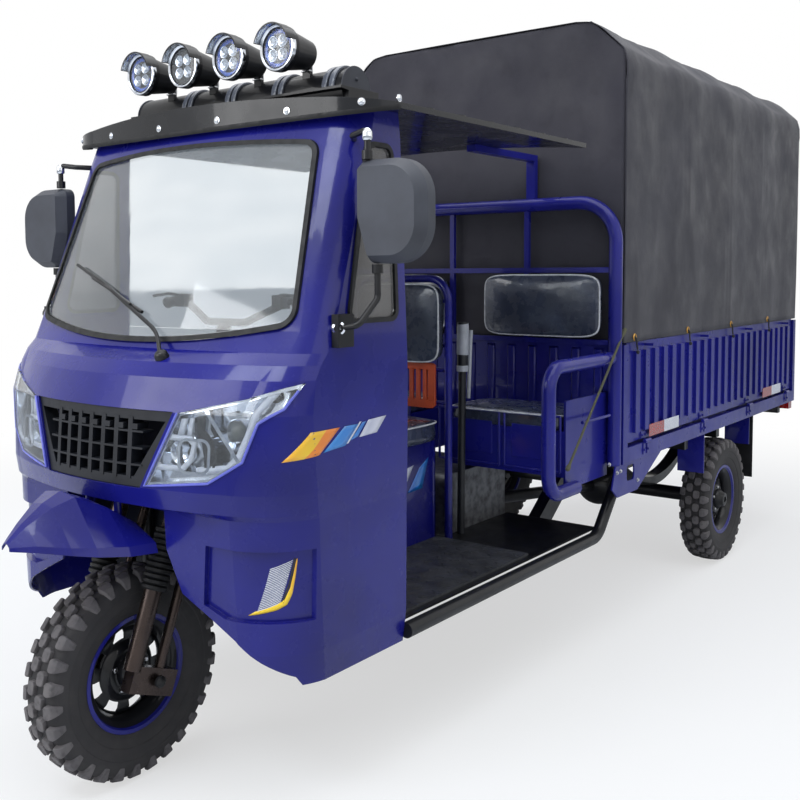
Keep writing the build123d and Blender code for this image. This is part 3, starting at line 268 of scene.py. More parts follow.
canvas = mottled(
    "black_tarpaulin", (50, 49, 56), (58, 57, 65), 0.6, 1.7, 6, 0.38, 0.75,
    Specular_IOR_Level=0.2, Sheen_Weight=0.12,
)
canvas.mottle((44, 43, 50), 11, 7, 0.55, 0.85).wear(6, 6, 0.5, 0.78)
canvas_weave = canvas.maths("MULTIPLY", canvas.wave(380, "Y"), canvas.wave(380, "Z"))
canvas.bump(canvas_weave, 0.12, 0.0006)
canvas.bump(canvas.noise(7, 8, (1, 1, 0.7)), 0.3, 0.012)
orange_plastic = mottled("orange_plastic", (196, 78, 38), (170, 62, 30), 0.42, 12, 4)
orange_plastic.grain(500, 2, 0.1, 0.0004)
red_lens = Look("red_lens", srgb(190, 20, 24), 0.12, coat=0.8)
red_lens.tones(srgb(140, 10, 16), red_lens.cells(160), 0.2, 0.6)
red_lens.bump(red_lens.cells(160), 0.4, 0.0008)
white_tape = Look("white_tape", srgb(232, 234, 240), 0.35)
white_tape.tones(srgb(206, 210, 220), white_tape.cells(240), 0.2, 0.6)
yellow_tape = mottled("yellow_stripe", (240, 202, 30), (232, 150, 40), 0.32, 5, 2, 0.4, 0.65, coat=0.5)
sky_tape = mottled("light_blue_stripe", (36, 128, 206), (24, 96, 186), 0.3, 6, 2, 0.4, 0.65, coat=0.5)
silver_tape = mottled("silver_stripe", (206, 208, 222), (182, 186, 206), 0.32, 8, 2, 0.4, 0.65, coat=0.5)
black_tape = mottled("black_stripe", (18, 18, 20), (28, 28, 31), 0.35, 20, 3)
lamp_white = mottled(
    "lit_white_plastic", (232, 236, 244), (214, 220, 232), 0.35, 30, 3, Transmission_Weight=0.2
)
lamp_blue = mottled("blue_lamp_ring", (30, 76, 196), (60, 120, 230), 0.2, 30, 3, coat=0.8)
amber_tape = mottled("amber_stripe", (238, 138, 30), (226, 110, 28), 0.32, 5, 2, 0.4, 0.65, coat=0.5)
lens_dark = mottled("dark_lamp_lens", (60, 62, 54), (96, 100, 92), 0.08, 40, 2, coat=1.0)
pale_grey = mottled("pale_grey_plastic", (172, 176, 184), (146, 150, 158), 0.4, 16, 4)
tyre_dark = mottled("tyre_carcass_rubber", (38, 37, 39), (50, 48, 49), 0.8, 18, 6, 0.42, 0.72)
tyre_dark.grain(420, 3, 0.2, 0.0008)
olive_rope = laid_rope("olive_rope", (96, 96, 74), (70, 70, 54))
rope_look = laid_rope("black_rope", (32, 32, 35), (54, 54, 58))
mat_look = mottled("ribbed_floor_mat", (42, 44, 48), (64, 66, 72), 0.5, 10, 6, 0.42, 0.75)
mat_look.wear(14, 5, 0.35, 0.62)
mat_look.bump(mat_look.cells(46, (1, 1, 0)), 0.8, 0.003)

finishes = {
    "blue_paint": blue_paint,
    "black_paint": black_paint,
    "black_plastic": grille_black,
    "gloss_black": gloss_black,
    "rubber": rubber,
    "tyre": tread_rubber_and_highlight,
    "glass": clear_glass,
    "lens": lens_clear,
    "reflector": chrome,
    "vinyl": vinyl,
    "canvas": canvas,
    "orange_plastic": orange_plastic,
    "cast_metal": cast_metal,
    "red_lens": red_lens,
}
own_finish = {
    "quarter_glass": quarter_tint,
    "fork": fork_metal,
    "mirror_heads": mirror_plastic,
    "floor_mat": mat_look,
}
blue_frame_nodes = (
    "headboard_hoop", "guard_rails", "bed_floor", "bed_posts", "dropside_left", "dropside_right", "tailgate",
    "gussets", "bench_box", "headboard_panel", "backrest_frame", "mudguards",
)
for name in blue_frame_nodes:
    own_finish[name] = frame_blue
node_slot = {row["node"]: row["material_slot"] for row in frame["record"]["subparts"]}
for name, thing in nodes.items():
    look = own_finish.get(name) or finishes[node_slot.get(name, "black_paint")]
    for place in thing.material_slots:
        place.material = look.mat


class Build:
    """Collects faces in millimetres and makes one piece of them."""

    def __init__(self, name):
        self.name = name
        self.verts = []
        self.faces = []
        self.marks = []
        self.mark = 0

    def add(self, verts, faces):
        start = len(self.verts)
        self.verts += [tuple(v) for v in verts]
        self.faces += [tuple(start + i for i in face) for face in faces]
        self.marks += [self.mark] * len(faces)
        return self

    def box(self, low, high, turn=None):
        """A box between two corners, turned about its middle by a matrix."""
        middle = (Vector(low) + Vector(high)) / 2
        half = (Vector(high) - Vector(low)) / 2
        verts = []
        for sx, sy, sz in ((-1, -1, -1), (1, -1, -1), (1, 1, -1), (-1, 1, -1),
                           (-1, -1, 1), (1, -1, 1), (1, 1, 1), (-1, 1, 1)):
            corner = Vector((sx * half.x, sy * half.y, sz * half.z))
            verts.append(middle + (turn @ corner if turn else corner))
        faces = ((0, 3, 2, 1), (4, 5, 6, 7), (0, 1, 5, 4), (1, 2, 6, 5), (2, 3, 7, 6), (3, 0, 4, 7))
        return self.add(verts, faces)

    def prism(self, outline, depth):
        """A flat outline of points carried along a vector."""
        count = len(outline)
        verts = [Vector(p) for p in outline] + [Vector(p) + Vector(depth) for p in outline]
        faces = [tuple(reversed(range(count))), tuple(range(count, 2 * count))]
        for i in range(count):
            j = (i + 1) % count
            faces.append((i, j, count + j, count + i))
        return self.add(verts, faces)

    def rings(self, rings, wrap=True, caps=False):
        """Faces between rows of points."""
        width = len(rings[0])
        verts = [p for ring in rings for p in ring]
        faces = []
        for r in range(len(rings) - 1):
            for c in range(width if wrap else width - 1):
                d = (c + 1) % width
                faces.append((r * width + c, r * width + d, (r + 1) * width + d, (r + 1) * width + c))
        if caps:
            faces.append(tuple(reversed(range(width))))
            faces.append(tuple((len(rings) - 1) * width + c for c in range(width)))
        return self.add(verts, faces)

    def tube(self, points, radius, sides=14, bend=0.0, caps=True):
        """A round bar through points, its corners eased by a bend radius."""
        route = eased(points, bend) if bend else [Vector(p) for p in points]
        radii = radius if isinstance(radius, (list, tuple)) else [radius] * len(route)
        rings = []
        normal = None
        for i, point in enumerate(route):
            ahead = route[min(i + 1, len(route) - 1)] - route[max(i - 1, 0)]
            ahead.normalize()
            if normal is None:
                normal = ahead.orthogonal().normalized()
            else:
                normal = (normal - ahead * normal.dot(ahead)).normalized()
            side = ahead.cross(normal)
            ring = []
            for k in range(sides):
                angle = 2 * math.pi * k / sides
                ring.append(point + (normal * math.cos(angle) + side * math.sin(angle)) * radii[i])
            rings.append(ring)
        return self.rings(rings, caps=caps)

    def lathe(self, centre, axis, profile, steps=48, caps=False):
        """A profile of (along, radius) pairs turned about an axis."""
        axis = Vector(axis).normalized()
        first = axis.orthogonal().normalized()
        second = axis.cross(first)
        rings = []
        for along, radius in profile:
            ring = []
            for k in range(steps):
                angle = 2 * math.pi * k / steps
                spoke = first * math.cos(angle) + second * math.sin(angle)
                ring.append(Vector(centre) + axis * along + spoke * radius)
            rings.append(ring)
        return self.rings(rings, caps=caps)

    def bolt(self, at, normal, size=7.0):
        """A domed hexagon bolt on its washer."""
        normal = Vector(normal).normalized()
        at = Vector(at)
        self.lathe(at, normal, [(-0.5, size * 1.25), (1.2, size * 1.25), (1.2, size)], 16, caps=True)
        self.lathe(at, normal, [(1.0, size), (size * 0.75, size), (size, size * 0.72)], 6, caps=True)
        return self

    def mirror(self):
        """The same faces again on the other side."""
        count = len(self.verts)
        marks = list(self.marks)
        self.verts += [(-x, y, z) for x, y, z in self.verts]
        self.faces += [tuple(reversed([count + i for i in face])) for face in self.faces]
        self.marks += marks
        return self

    def done(self, looks, body="vehicle", bevel=0.0, solid=0.0, subdivide=0, sharp=38.0, segments=2):
        """The finished piece, in metres, riding on its body."""
        mesh = bpy.data.meshes.new(self.name)
        mesh.from_pydata([tuple(c * MM for c in v) for v in self.verts], [], self.faces)
        mesh.validate()
        thing = bpy.data.objects.new(self.name, mesh)
        bpy.context.scene.collection.objects.link(thing)
        for look in looks if isinstance(looks, (list, tuple)) else [looks]:
            mesh.materials.append(look.mat)
        for polygon, mark in zip(mesh.polygons, self.marks):
            polygon.material_index = mark
            polygon.use_smooth = True
        work = bmesh.new()
        work.from_mesh(mesh)
        bmesh.ops.remove_doubles(work, verts=work.verts, dist=0.00001)
        bmesh.ops.recalc_face_normals(work, faces=work.faces)
        work.to_mesh(mesh)
        work.free()
        if solid:
            wall = thing.modifiers.new("wall", "SOLIDIFY")
            wall.thickness = solid * MM
            wall.offset = 0
        if bevel:
            edge = thing.modifiers.new("edge", "BEVEL")
            edge.width = bevel * MM
            edge.segments = segments
            edge.limit_method = "ANGLE"
            edge.angle_limit = math.radians(35)
        if subdivide:
            finer = thing.modifiers.new("finer", "SUBSURF")
            finer.levels = subdivide
            finer.render_levels = subdivide
        mesh.set_sharp_from_angle(angle=math.radians(sharp))
        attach(thing, body)
        return thing


def eased(points, bend, steps=6):
    """A route of straight runs with its corners turned into arcs."""
    points = [Vector(p) for p in points]
    route = [points[0]]
    for before, corner, after in zip(points, points[1:], points[2:]):
        reach = min(bend, (before - corner).length * 0.48, (after - corner).length * 0.48)
        start = corner + (before - corner).normalized() * reach
        end = corner + (after - corner).normalized() * reach
        for k in range(steps + 1):
            t = k / steps
            route.append(start * (1 - t) ** 2 + corner * 2 * t * (1 - t) + end * t * t)
    route.append(points[-1])
    return route


def grid(rows, columns, place):
    """Rows of points from a function of two shares."""
    return [[place(r / rows, c / columns) for c in range(columns + 1)] for r in range(rows + 1)]


def along(path, distance):
    """A point on a profile given as (distance, x, y) rows."""
    for (s0, x0, y0), (s1, x1, y1) in zip(path, path[1:]):
        if distance <= s1:
            t = (distance - s0) / (s1 - s0)
            return x0 + (x1 - x0) * t, y0 + (y1 - y0) * t
    return path[-1][1], path[-1][2]


# Tyres: a carcass with four rows of staggered tread blocks
wheel_radius = 287.0
# Rows of (distance over the tread, x, radius), then of (distance, start, end) in shares of a pitch
lug_top = [(0, 0, 287), (25, 25, 286), (50, 50, 283), (60, 59, 277.5), (72, 63.5, 266), (84, 64.8, 254),
           (96, 65, 243)]
lug_foot = [(0, 0, 275), (25, 25, 274), (50, 49, 271), (60, 55.5, 266), (72, 60, 257), (84, 62.6, 248),
            (96, 64, 240)]
centre_block = [(3, 0.16, 0.56), (9, 0.03, 0.69), (22, 0.03, 0.69), (30, 0.14, 0.60)]
shoulder_block = [(35, 0.16, 0.62), (41, 0.04, 0.70), (50, 0.04, 0.70), (60, 0.08, 0.64), (72, 0.12, 0.58),
                  (88, 0.18, 0.50)]
tread_pitches = 30
rear_axle_x, rear_axle_y, front_axle_y = 582, 1108, -1875


def tyre(name, node, body, centre):
    """One tyre turned about an axis along X."""
    cx, cy, cz = centre
    made = Build(name)
    profile = [(-x, r) for s, x, r in reversed(lug_foot)] + [(x, r) for s, x, r in lug_foot[1:]]
    side = [(65, 236), (64.6, 228), (63.2, 226), (62.6, 210), (60.5, 196), (58.5, 194), (56, 180), (51, 168),
            (47, 161.8)]
    profile = [(-x, r) for x, r in reversed(side)] + profile + side
    made.mark = 1
    made.lathe(centre, (1, 0, 0), profile, 120)
    made.mark = 0
    for hand in (-1, 1):
        for row, (block, lead) in enumerate(((centre_block, 0.0), (shoulder_block, 0.34))):
            for pitch in range(tread_pitches):
                tops, feet = [], []
                for s, start, end in block:
                    x_top, r_top = along(lug_top, s)
                    x_foot, r_foot = along(lug_foot, s)
                    tops.append([])
                    feet.append([])
                    for share in (start, end):
                        turn = share + lead + (0.5 if hand > 0 else 0.0)
                        ease = 0.035 if share == start else -0.035
                        for points, x, r, more in ((tops, x_top, r_top, ease), (feet, x_foot, r_foot - 2, 0)):
                            angle = 2 * math.pi * (pitch + turn + more) / tread_pitches
                            points[-1].append(
                                (cx + hand * x, cy + math.cos(angle) * r, cz + math.sin(angle) * r)
                            )
                count = len(block)
                ring = [pair[0] for pair in tops] + [pair[1] for pair in reversed(tops)]
                low = [pair[0] for pair in feet] + [pair[1] for pair in reversed(feet)]
                total = 2 * count
                faces = [(i, i + 1, total - 2 - i, total - 1 - i) for i in range(count - 1)]
                faces += [(i, (i + 1) % total, total + (i + 1) % total, total + i) for i in range(total)]
                made.add(ring + low, faces)
    # The tread blocks take the lighter rubber with its painted highlight; the carcass takes the darker
    # rubber.
    thing = made.done([tread_rubber_and_highlight, tyre_dark], body, bevel=1.6, segments=1, sharp=32)
    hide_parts(node)


# Wheels: a pressed blue rim, a black slotted disc, a hub and its nuts
def wheel(name, node, body, centre, face):
    """One wheel. Face is +1 where the disc's outside looks to +X."""
    cx, cy, cz = centre
    rim = Build(name + "_rim")
    for hand in (1, -1):
        lip_profile = [(40, 146), (48, 150), (48, 161), (44, 162), (40, 160), (34, 147)]
        rim.mark = 0
        rim.lathe(centre, (hand, 0, 0), lip_profile, 72)
        rim.mark = 1
        well_profile = [(34, 147), (30, 140), (20, 136), (8, 128), (0, 127)]
        rim.lathe(centre, (hand, 0, 0), well_profile, 72)
        barrel_profile = [(40, 146), (34, 134), (26, 128), (10, 120), (0, 120)]
        rim.lathe(centre, (hand, 0, 0), barrel_profile, 72)
    rim_thing = rim.done([frame_blue, black_paint], body, sharp=40)
    disc = Build(name + "_disc")
    steps = 96
    rows = [(52, 26), (64, 24), (72, 12), (84, 6), (88, 7), (104, 8), (114, 4), (120, -2), (122, -10)]
    points = []
    for radius, out in rows:
        points.append([
            (cx + face * (out - 6), cy + math.cos(2 * math.pi * k / steps) * radius,
             cz + math.sin(2 * math.pi * k / steps) * radius)
            for k in range(steps)
        ])
    faces = []
    for r in range(len(rows) - 1):
        for k in range(steps):
            slotted = rows[r][0] >= 88 and rows[r + 1][0] <= 114 and k % 12 in (1, 2, 3, 4, 5, 6)
            if not slotted:
                j = (k + 1) % steps
                faces.append((r * steps + k, r * steps + j, (r + 1) * steps + j, (r + 1) * steps + k))
    disc.add([p for ring in points for p in ring], faces)
    disc.done(black_paint, body, solid=4, bevel=1.0, segments=1)
    hub = Build(name + "_hub")
    out = (face, 0, 0)
    hub_profile = [(-54, 20), (-54, 46), (-30, 60), (8, 62), (16, 58), (20, 46), (34, 44), (40, 38), (56, 30),
                   (58, 22), (58, 14)]
    hub.lathe(centre, out, hub_profile, 40)
    hub.done(black_paint, body)
    nuts = Build(name + "_nuts")
    for k in range(5):
        angle = 2 * math.pi * (k + 0.25) / 5
        nuts.bolt((cx + face * 19, cy + math.cos(angle) * 54, cz + math.sin(angle) * 54), out, 7.5)
    nuts.done(steel, body, bevel=0.6, segments=1)
    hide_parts(node)


for name, body, centre, face in (
    ("front", "front_wheel", (0, front_axle_y, wheel_radius), 1),
    ("rear_left", "rear_left_wheel", (rear_axle_x, rear_axle_y, wheel_radius), 1),
    ("rear_right", "rear_right_wheel", (-rear_axle_x, rear_axle_y, wheel_radius), -1),
):
    tyre(name + "_tread_tyre", name + "_tyre", body, centre)
    wheel(name + "_wheel", name + "_rim", body, centre, face)


# Tarp: one long sheet over the bows and a sheet at each end
bed_front, bed_rear, bed_half = -89.7, 2200.0, 652.0
hem_z, eave_z, crown_z, crown_x = 1097.0, 2166.0, 2299.0, 506.0
bows = [bed_front + 66 + k * (bed_rear - bed_front - 132) / 4 for k in range(5)]
section = [(bed_half - 1, hem_z), (bed_half - 1, 1600), (bed_half - 2, 2080), (bed_half - 4, 2135),
           (bed_half - 17, 2177), (crown_x + 40, 2262), (crown_x - 4, 2290), (crown_x - 60, 2297),
           (250, 2298), (0, 2298.5)]
section = section + [(-x, z) for x, z in reversed(section[:-1])]
section_length = [0.0]
for (x0, z0), (x1, z1) in zip(section, section[1:]):
    section_length.append(section_length[-1] + math.hypot(x1 - x0, z1 - z0))


def on_section(distance):
    """Point and outward normal on the tarp's cross-section."""
    for i in range(len(section) - 1):
        if distance <= section_length[i + 1] or i == len(section) - 2:
            t = (distance - section_length[i]) / (section_length[i + 1] - section_length[i])
            (x0, z0), (x1, z1) = section[i], section[i + 1]
            dx, dz = x1 - x0, z1 - z0
            size = math.hypot(dx, dz)
            return x0 + dx * t, z0 + dz * t, dz / size, -dx / size


def between_bows(y):
    """0 at a bow, 1 midway between two."""
    for first, second in zip(bows, bows[1:]):
        if first <= y <= second:
            return math.sin(math.pi * (y - first) / (second - first)) ** 2
    return 0.0


def creases(a, b, seed):
    """Soft folds of the sheet, in millimetres, about -1 to 1."""
    broad = noise.noise(Vector((a * 0.0021 + seed, b * 0.0013, seed)))
    folds = noise.noise(Vector((a * 0.008 + seed, b * 0.0024, 4.0 + seed)))
    ridges = 1 - abs(noise.noise(Vector((a * 0.0046 + 0.3 * b * 0.0046 + seed, b * 0.0031, 9.0)))) * 2.4
    return broad * 0.9 + folds * 0.5 + max(0.0, ridges) * 0.45


def tarp_place(share_y, share_s):
    """A point of the cover: it sags between the bows and the ridge rods and carries soft folds."""
    y = bed_front + (bed_rear - bed_front) * share_y
    s = section_length[-1] * share_s
    x, z, nx, nz = on_section(s)
    if z < 1700:
        nx, nz = (1.0, 0.0) if x > 0 else (-1.0, 0.0)
    span = between_bows(y)
    top = smooth_step(z, 2200, 2285)
    rods = 1.0
    for rod in (-446, 0, 446):
        rods = min(rods, abs(x - rod) / 190)
    drop = -span * (7 * (1 - top) + 17 * top * smooth_step(rods, 0.0, 1.0))
    drop -= 2.2 * (1 - top) * (1 - smooth_step(z, hem_z, hem_z + 260))
    fold = creases(y, s, 1.7) * (2.6 if span < 0.05 else 5.2)
    if abs(y - bed_front) < 30 or abs(y - bed_rear) < 30:
        fold *= 0.35
    out = min(drop + fold - 2.0, 5.5)
    if 2060 < z < 2290:
        out = max(out, 1.5 - 14 * span)
    y_move = 4.0 * noise.noise(Vector((s * 0.004, 3.1, y * 0.002))) if 40 < y - bed_front < 2200 else 0.0
    return (x + nx * out, y + y_move, z + nz * out)


tarp = Build("tarp_cover")
tarp.rings(grid(170, 150, tarp_place), wrap=False)
tarp_cover = tarp.done(canvas, solid=2.0, sharp=60)
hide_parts("tarp_sides", "tarp_roof")


def tarp_end(name, node, y, facing, seed):
    """A hanging end sheet. Facing is -1 at the front."""

    def place(share_z, share_x):
        z = hem_z + 3 + (crown_z - 12 - hem_z) * share_z
        half = bed_half - 8
        if z > eave_z:
            half -= (z - eave_z) / (crown_z - eave_z) * (bed_half - crown_x)
        x = half * (2 * share_x - 1)
        edge = min(1.0, (half - abs(x)) / 120)
        fold = creases(x * 1.3, z, seed) * 7 * edge
        return (x, y + facing * fold * 0.8, z)

    made = Build(name)
    made.rings(grid(90, 90, place), wrap=False)
    thing = made.done(canvas, solid=2.0, sharp=60)
    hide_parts(node)


tarp_end("tarp_front_sheet", "tarp_front", bed_front + 6, -1, 5.3)
tarp_end("tarp_rear_sheet", "tarp_rear", bed_rear - 4, 1, 8.9)


# Cushions: crowned pads with a welt, in plastic wrapped vinyl
def cushion(name, low, high, up, seed):
    """A pad between two corners whose face looks along axis up, a signed axis index such as 3 or -2."""
    low, high = Vector(low), Vector(high)
    axis = abs(up) - 1
    sign = 1 if up > 0 else -1
    first, second = [i for i in range(3) if i != axis]
    if axis == 1:
        first, second = second, first
    size = high - low
    half_a, half_b = size[first] / 2, size[second] / 2
    middle = (low + high) / 2
    base = low[axis] if sign > 0 else high[axis]
    thick = size[axis]

    def rim(share):
        """A rounded rectangle from -1 to 1 each way, by share of a turn."""
        angle = 2 * math.pi * share
        c, s = math.cos(angle), math.sin(angle)
        power = 2 / 7
        a = math.copysign(abs(c) ** power, c) * half_a
        b = math.copysign(abs(s) ** power, s) * half_b
        return a, b

    levels = [(0.0, 0.93), (0.05, 0.975), (0.3, 1.0), (0.62, 0.985), (0.74, 1.0)]
    made = Build(name)
    turns = 96
    rings = []

    def spot(a, b, height):
        point = Vector(middle)
        point[first] = middle[first] + a
        point[second] = middle[second] + b
        point[axis] = base + sign * height
        return point

    pull = 0.02
    for level, scale in levels:
        ring = []
        for k in range(turns):
            a, b = rim(k / turns)
            tuck = pull * math.sin(math.pi * min(1.0, level / 0.74))
            waist = 1 - tuck * (1 - abs(a * b) / (half_a * half_b))
            ring.append(spot(a * scale * waist, b * scale * waist, level * thick))
        rings.append(ring)
    for scale in (0.97, 0.92, 0.85, 0.76, 0.66, 0.55, 0.44, 0.33, 0.22, 0.11, 0.02):
        ring = []
        for k in range(turns):
            a, b = rim(k / turns)
            a, b = a * scale, b * scale
            rise = (1 - (abs(a) / half_a) ** 3.4) * (1 - (abs(b) / half_b) ** 3.4)
            height = thick * (0.74 + 0.26 * max(0.0, rise) ** 0.6)
            height += 1.6 * noise.noise(Vector((a * 0.014 + seed, b * 0.014, seed)))
            ring.append(spot(a, b, min(height, thick)))
        rings.append(ring)
    made.rings(rings, caps=True)
    thing = made.done(vinyl, sharp=70)
    welt = Build(name + "_piping")
    loop = [spot(*rim(k / turns), 0.745 * thick) for k in range(turns)]
    welt.tube(loop + loop[:1], 3.2, 8, caps=False)
    welt_thing = welt.done(piping)
    return thing


for side in (1, -1):
    tag = "left" if side > 0 else "right"
    xs = sorted((side * 107.0, side * 583.7))
    pad = cushion("bench_pad_" + tag, (xs[0], -450, 807.3), (xs[1], -175, 877), 3, seed=2.0 + side)
    if side > 0:
        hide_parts("bench_cushions")
    xs = sorted((side * 95.0, side * 585.0))
    pad = cushion("back_pad_" + tag, (xs[0], -173.3, 1119), (xs[1], -123.3, 1350), -2, seed=5.0 + side)
    if side > 0:
        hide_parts("back_cushions")
seat = cushion("driver_seat_pad", (-190, -1060, 761), (190, -600, 850), 3, seed=9.0)
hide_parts("driver_seat")
rest = cushion("driver_back_pad", (-185, -640, 1040), (185, -583.3, 1320), -2, seed=11.0)
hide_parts("driver_backrest")


# Cab skin by height: rows of (z, front y, front arc's end x and y, corner arc's end x and y)
cab_rows = [
    (345.0, -1880.0, 430.0, -1862.0, 572.0, -1705.0),
    (430.0, -1890.0, 440.0, -1874.0, 584.0, -1722.0),
    (600.0, -1898.0, 430.0, -1884.0, 586.0, -1732.0),
    (764.0, -1908.0, 425.0, -1888.0, 587.0, -1738.0),
    (778.0, -1966.0, 425.0, -1900.0, 588.0, -1742.0),
    (830.0, -1984.0, 436.0, -1904.0, 590.0, -1748.0),
    (1022.0, -1968.0, 468.0, -1880.0, 592.0, -1764.0),
    (1105.0, -1938.0, 490.0, -1840.0, 592.0, -1752.0),
    (1140.0, -1906.0, 510.0, -1812.0, 591.0, -1732.0),
    (1168.0, -1846.0, 528.0, -1776.0, 590.0, -1704.0),
    (1221.0, -1820.0, 538.0, -1748.0, 588.0, -1676.0),
    (1721.0, -1618.0, 479.0, -1573.0, 570.0, -1500.0),
    (1830.0, -1572.0, 462.0, -1533.0, 560.0, -1465.0),
]


def circle_through(p, q, r):
    """Centre and radius of the circle through three points."""
    (ax, ay), (bx, by), (cx, cy) = p, q, r
    d = 2 * (ax * (by - cy) + bx * (cy - ay) + cx * (ay - by))
    a2, b2, c2 = ax * ax + ay * ay, bx * bx + by * by, cx * cx + cy * cy
    x = (a2 * (by - cy) + b2 * (cy - ay) + c2 * (ay - by)) / d
    y = (a2 * (cx - bx) + b2 * (ax - cx) + c2 * (bx - ax)) / d
    return x, y, math.hypot(ax - x, ay - y)


def cab_plan(z, out):
    """The shell's plan at a height, moved outwards by out."""
    for low_row, high_row in zip(cab_rows, cab_rows[1:]):
        if z <= high_row[0]:
            break
    t = (z - low_row[0]) / (high_row[0] - low_row[0])
    front_y, sx, sy, wx, wy = [a + (b - a) * t for a, b in zip(low_row[1:], high_row[1:])]
    return front_y - out, sx + out / 2, sy - out, wx + out, wy - out / 2


def corner_circle(z, out):
    """The circle of the corner arc at a height."""
    front_y, sx, sy, wx, wy = cab_plan(z, out)
    middle = ((sx + wx) / 2 + 0.14 * (wy - sy), (sy + wy) / 2 - 0.14 * (wx - sx))
    return circle_through((sx, sy), middle, (wx, wy))


def nose_point(x, z, out=0.0):
    """A point on the skin, by what is seen from the front."""
    front_y, sx, sy, wx, wy = cab_plan(z, out)
    if abs(x) <= sx:
        cx, cy, radius = circle_through((-sx, sy), (0, front_y), (sx, sy))
        return (x, cy - math.sqrt(radius * radius - (x - cx) ** 2), z)
    cx, cy, radius = corner_circle(z, out)
    reach = max(0.0, radius * radius - (abs(x) - cx) ** 2)
    return (x, cy - math.sqrt(reach), z)


def flank_point(y, z, out=0.0):
    """A point on the left skin, by what is seen from the side."""
    front_y, sx, sy, wx, wy = cab_plan(z, out)
    if y >= wy:
        return (wx + (592 + out - wx) * (y - wy) / (-1375 - wy), y, z)
    cx, cy, radius = corner_circle(z, out)
    return (cx + math.sqrt(max(0.0, radius * radius - (y - cy) ** 2)), y, z)


def ribbon(made, first, second, where, out, steps=6, across=3):
    """A strip of skin between two rails of the same count of points."""
    rows = []
    for (a0, b0), (a1, b1), (c0, d0), (c1, d1) in zip(first, first[1:], second, second[1:]):
        for k in range(steps + 1):
            t = k / steps
            start = (a0 + (a1 - a0) * t, b0 + (b1 - b0) * t)
            end = (c0 + (c1 - c0) * t, d0 + (d1 - d0) * t)
            row = []
            for j in range(across + 1):
                a = start[0] + (end[0] - start[0]) * j / across
                b = start[1] + (end[1] - start[1]) * j / across
                row.append(where(a, b, out))
            rows.append(row)
    made.rings(rows, wrap=False)


# Stripes on the cab's sides, and the hatched pocket below them
stripes = Build("cab_side_stripes")
for mark, first, second in (
    (0, [(-1834, 912), (-1771, 980)], [(-1786, 917), (-1716, 980)]),
    (1, [(-1786, 917), (-1716, 980)], [(-1742, 922), (-1664, 980)]),
    (2, [(-1728, 925), (-1646, 980)], [(-1644, 931), (-1590, 980)]),
    (4, [(-1639, 935), (-1586, 984)], [(-1632, 935), (-1579, 984)]),
    (2, [(-1624, 941), (-1574, 982)], [(-1595, 947), (-1559, 983)]),
    (3, [(-1588, 945), (-1550, 985)], [(-1515, 948), (-1474, 988)]),
):
    stripes.mark = mark
    ribbon(stripes, first, second, flank_point, 1.2)
stripes.mirror()
stripes.done([yellow_tape, amber_tape, sky_tape, silver_tape, white_tape], solid=0.8)
hatch = Build("skirt_hatch_stripes")
hatch.mark = 0
pocket_out = -12.4
for k in range(23):
    t = (k + 0.5) / 23
    left = (-1831 - 17 * t, 648 - 109 * t)
    right = (-1790 - 24 * t, 668 - 108 * t)
    under = [(left[0], left[1] - 2.3), (right[0], right[1] - 2.3)]
    ribbon(hatch, [left, right], under, flank_point, pocket_out, 6, 1)
hatch.mark = 1
edge = [(-1788, 669), (-1793, 639), (-1799, 606), (-1806, 582), (-1812, 559)]
ribbon(hatch, edge, [(y + 4, z) for y, z in edge], flank_point, pocket_out, 4, 1)
hatch.mark = 2
outer = [(-1780, 668), (-1785, 622), (-1791, 581), (-1801, 555), (-1818, 543), (-1858, 527)]
inner = [(-1783, 667), (-1789, 632), (-1796, 596), (-1806, 568), (-1820, 556), (-1850, 539)]
ribbon(hatch, inner, outer, flank_point, pocket_out, 5, 2)
hatch.mirror()
hatch.done([white_tape, black_tape, yellow_tape], solid=0.6)

# Headlamps: light guides, a black divider, lamp units, and a pale blue lip round the surround whose colour is
# a painted highlight along its edge
guides = Build("headlamp_light_guides")
ring_out = [(226, 893), (236, 952), (262, 968), (336, 968), (350, 951), (341, 906), (318, 880), (240, 878),
            (226, 893)]
ring_in = [(244, 900), (252, 944), (268, 954), (326, 954), (336, 944), (329, 911), (310, 893), (250, 893),
           (244, 900)]
ribbon(guides, ring_out, ring_in, nose_point, -9, 3, 1)
ribbon(guides, [(296, 967), (306, 1008)], [(312, 967), (322, 1010)], nose_point, -9, 3, 1)
ribbon(guides, [(322, 967), (330, 1011)], [(334, 967), (342, 1012)], nose_point, -9, 3, 1)
hook_out = [(546, 1090), (530, 1062), (507, 1030), (490, 975), (468, 918), (436, 886), (352, 874)]
hook_in = [(530, 1092), (512, 1063), (490, 1031), (474, 980), (454, 930), (428, 902), (354, 892)]
ribbon(guides, hook_out, hook_in, nose_point, -8, 4, 1)
guides.mirror()
guides.done(lamp_white, solid=5)
divider = Build("headlamp_dividers")
ribbon(divider, [(344, 1014), (344, 978), (364, 950), (372, 912), (372, 892)],
       [(372, 1020), (370, 984), (392, 960), (402, 916), (400, 894)], nose_point, -8, 4, 2)
ribbon(divider, [(250, 1010), (290, 1024), (420, 1048)], [(252, 1002), (292, 1016), (422, 1040)],
       nose_point, -9, 4, 1)
divider.mirror()
divider.done(gloss_black, solid=5)
units = Build("headlamp_projectors")
for x, z, size in ((289, 922, 33), (428, 980, 30), (520, 1066, 15)):
    middle = Vector(nose_point(x, z, -38 if size > 20 else -26))
    toward = Vector((0.45, -0.9, 0.0)) if x > 400 else Vector((0.2, -1.0, 0.0))
    units.mark = 0
    bowl = [(-6, size), (10, size), (16, size * 0.94), (10, size * 0.78), (0, size * 0.5)]
    units.lathe(middle, toward, bowl, 32)
    units.mark = 1
    bulb = [(2, size * 0.66), (10, size * 0.5), (14, size * 0.28), (15.5, 0.5)]
    units.lathe(middle, toward, bulb, 32, caps=True)
units.mirror()
units.done([chrome, lens_dark])
# A pale blue tube along the lamp surround's edge: a painted highlight where the body's edge catches the
# light.
highlight_lips = Build("headlamp_highlight_lips")
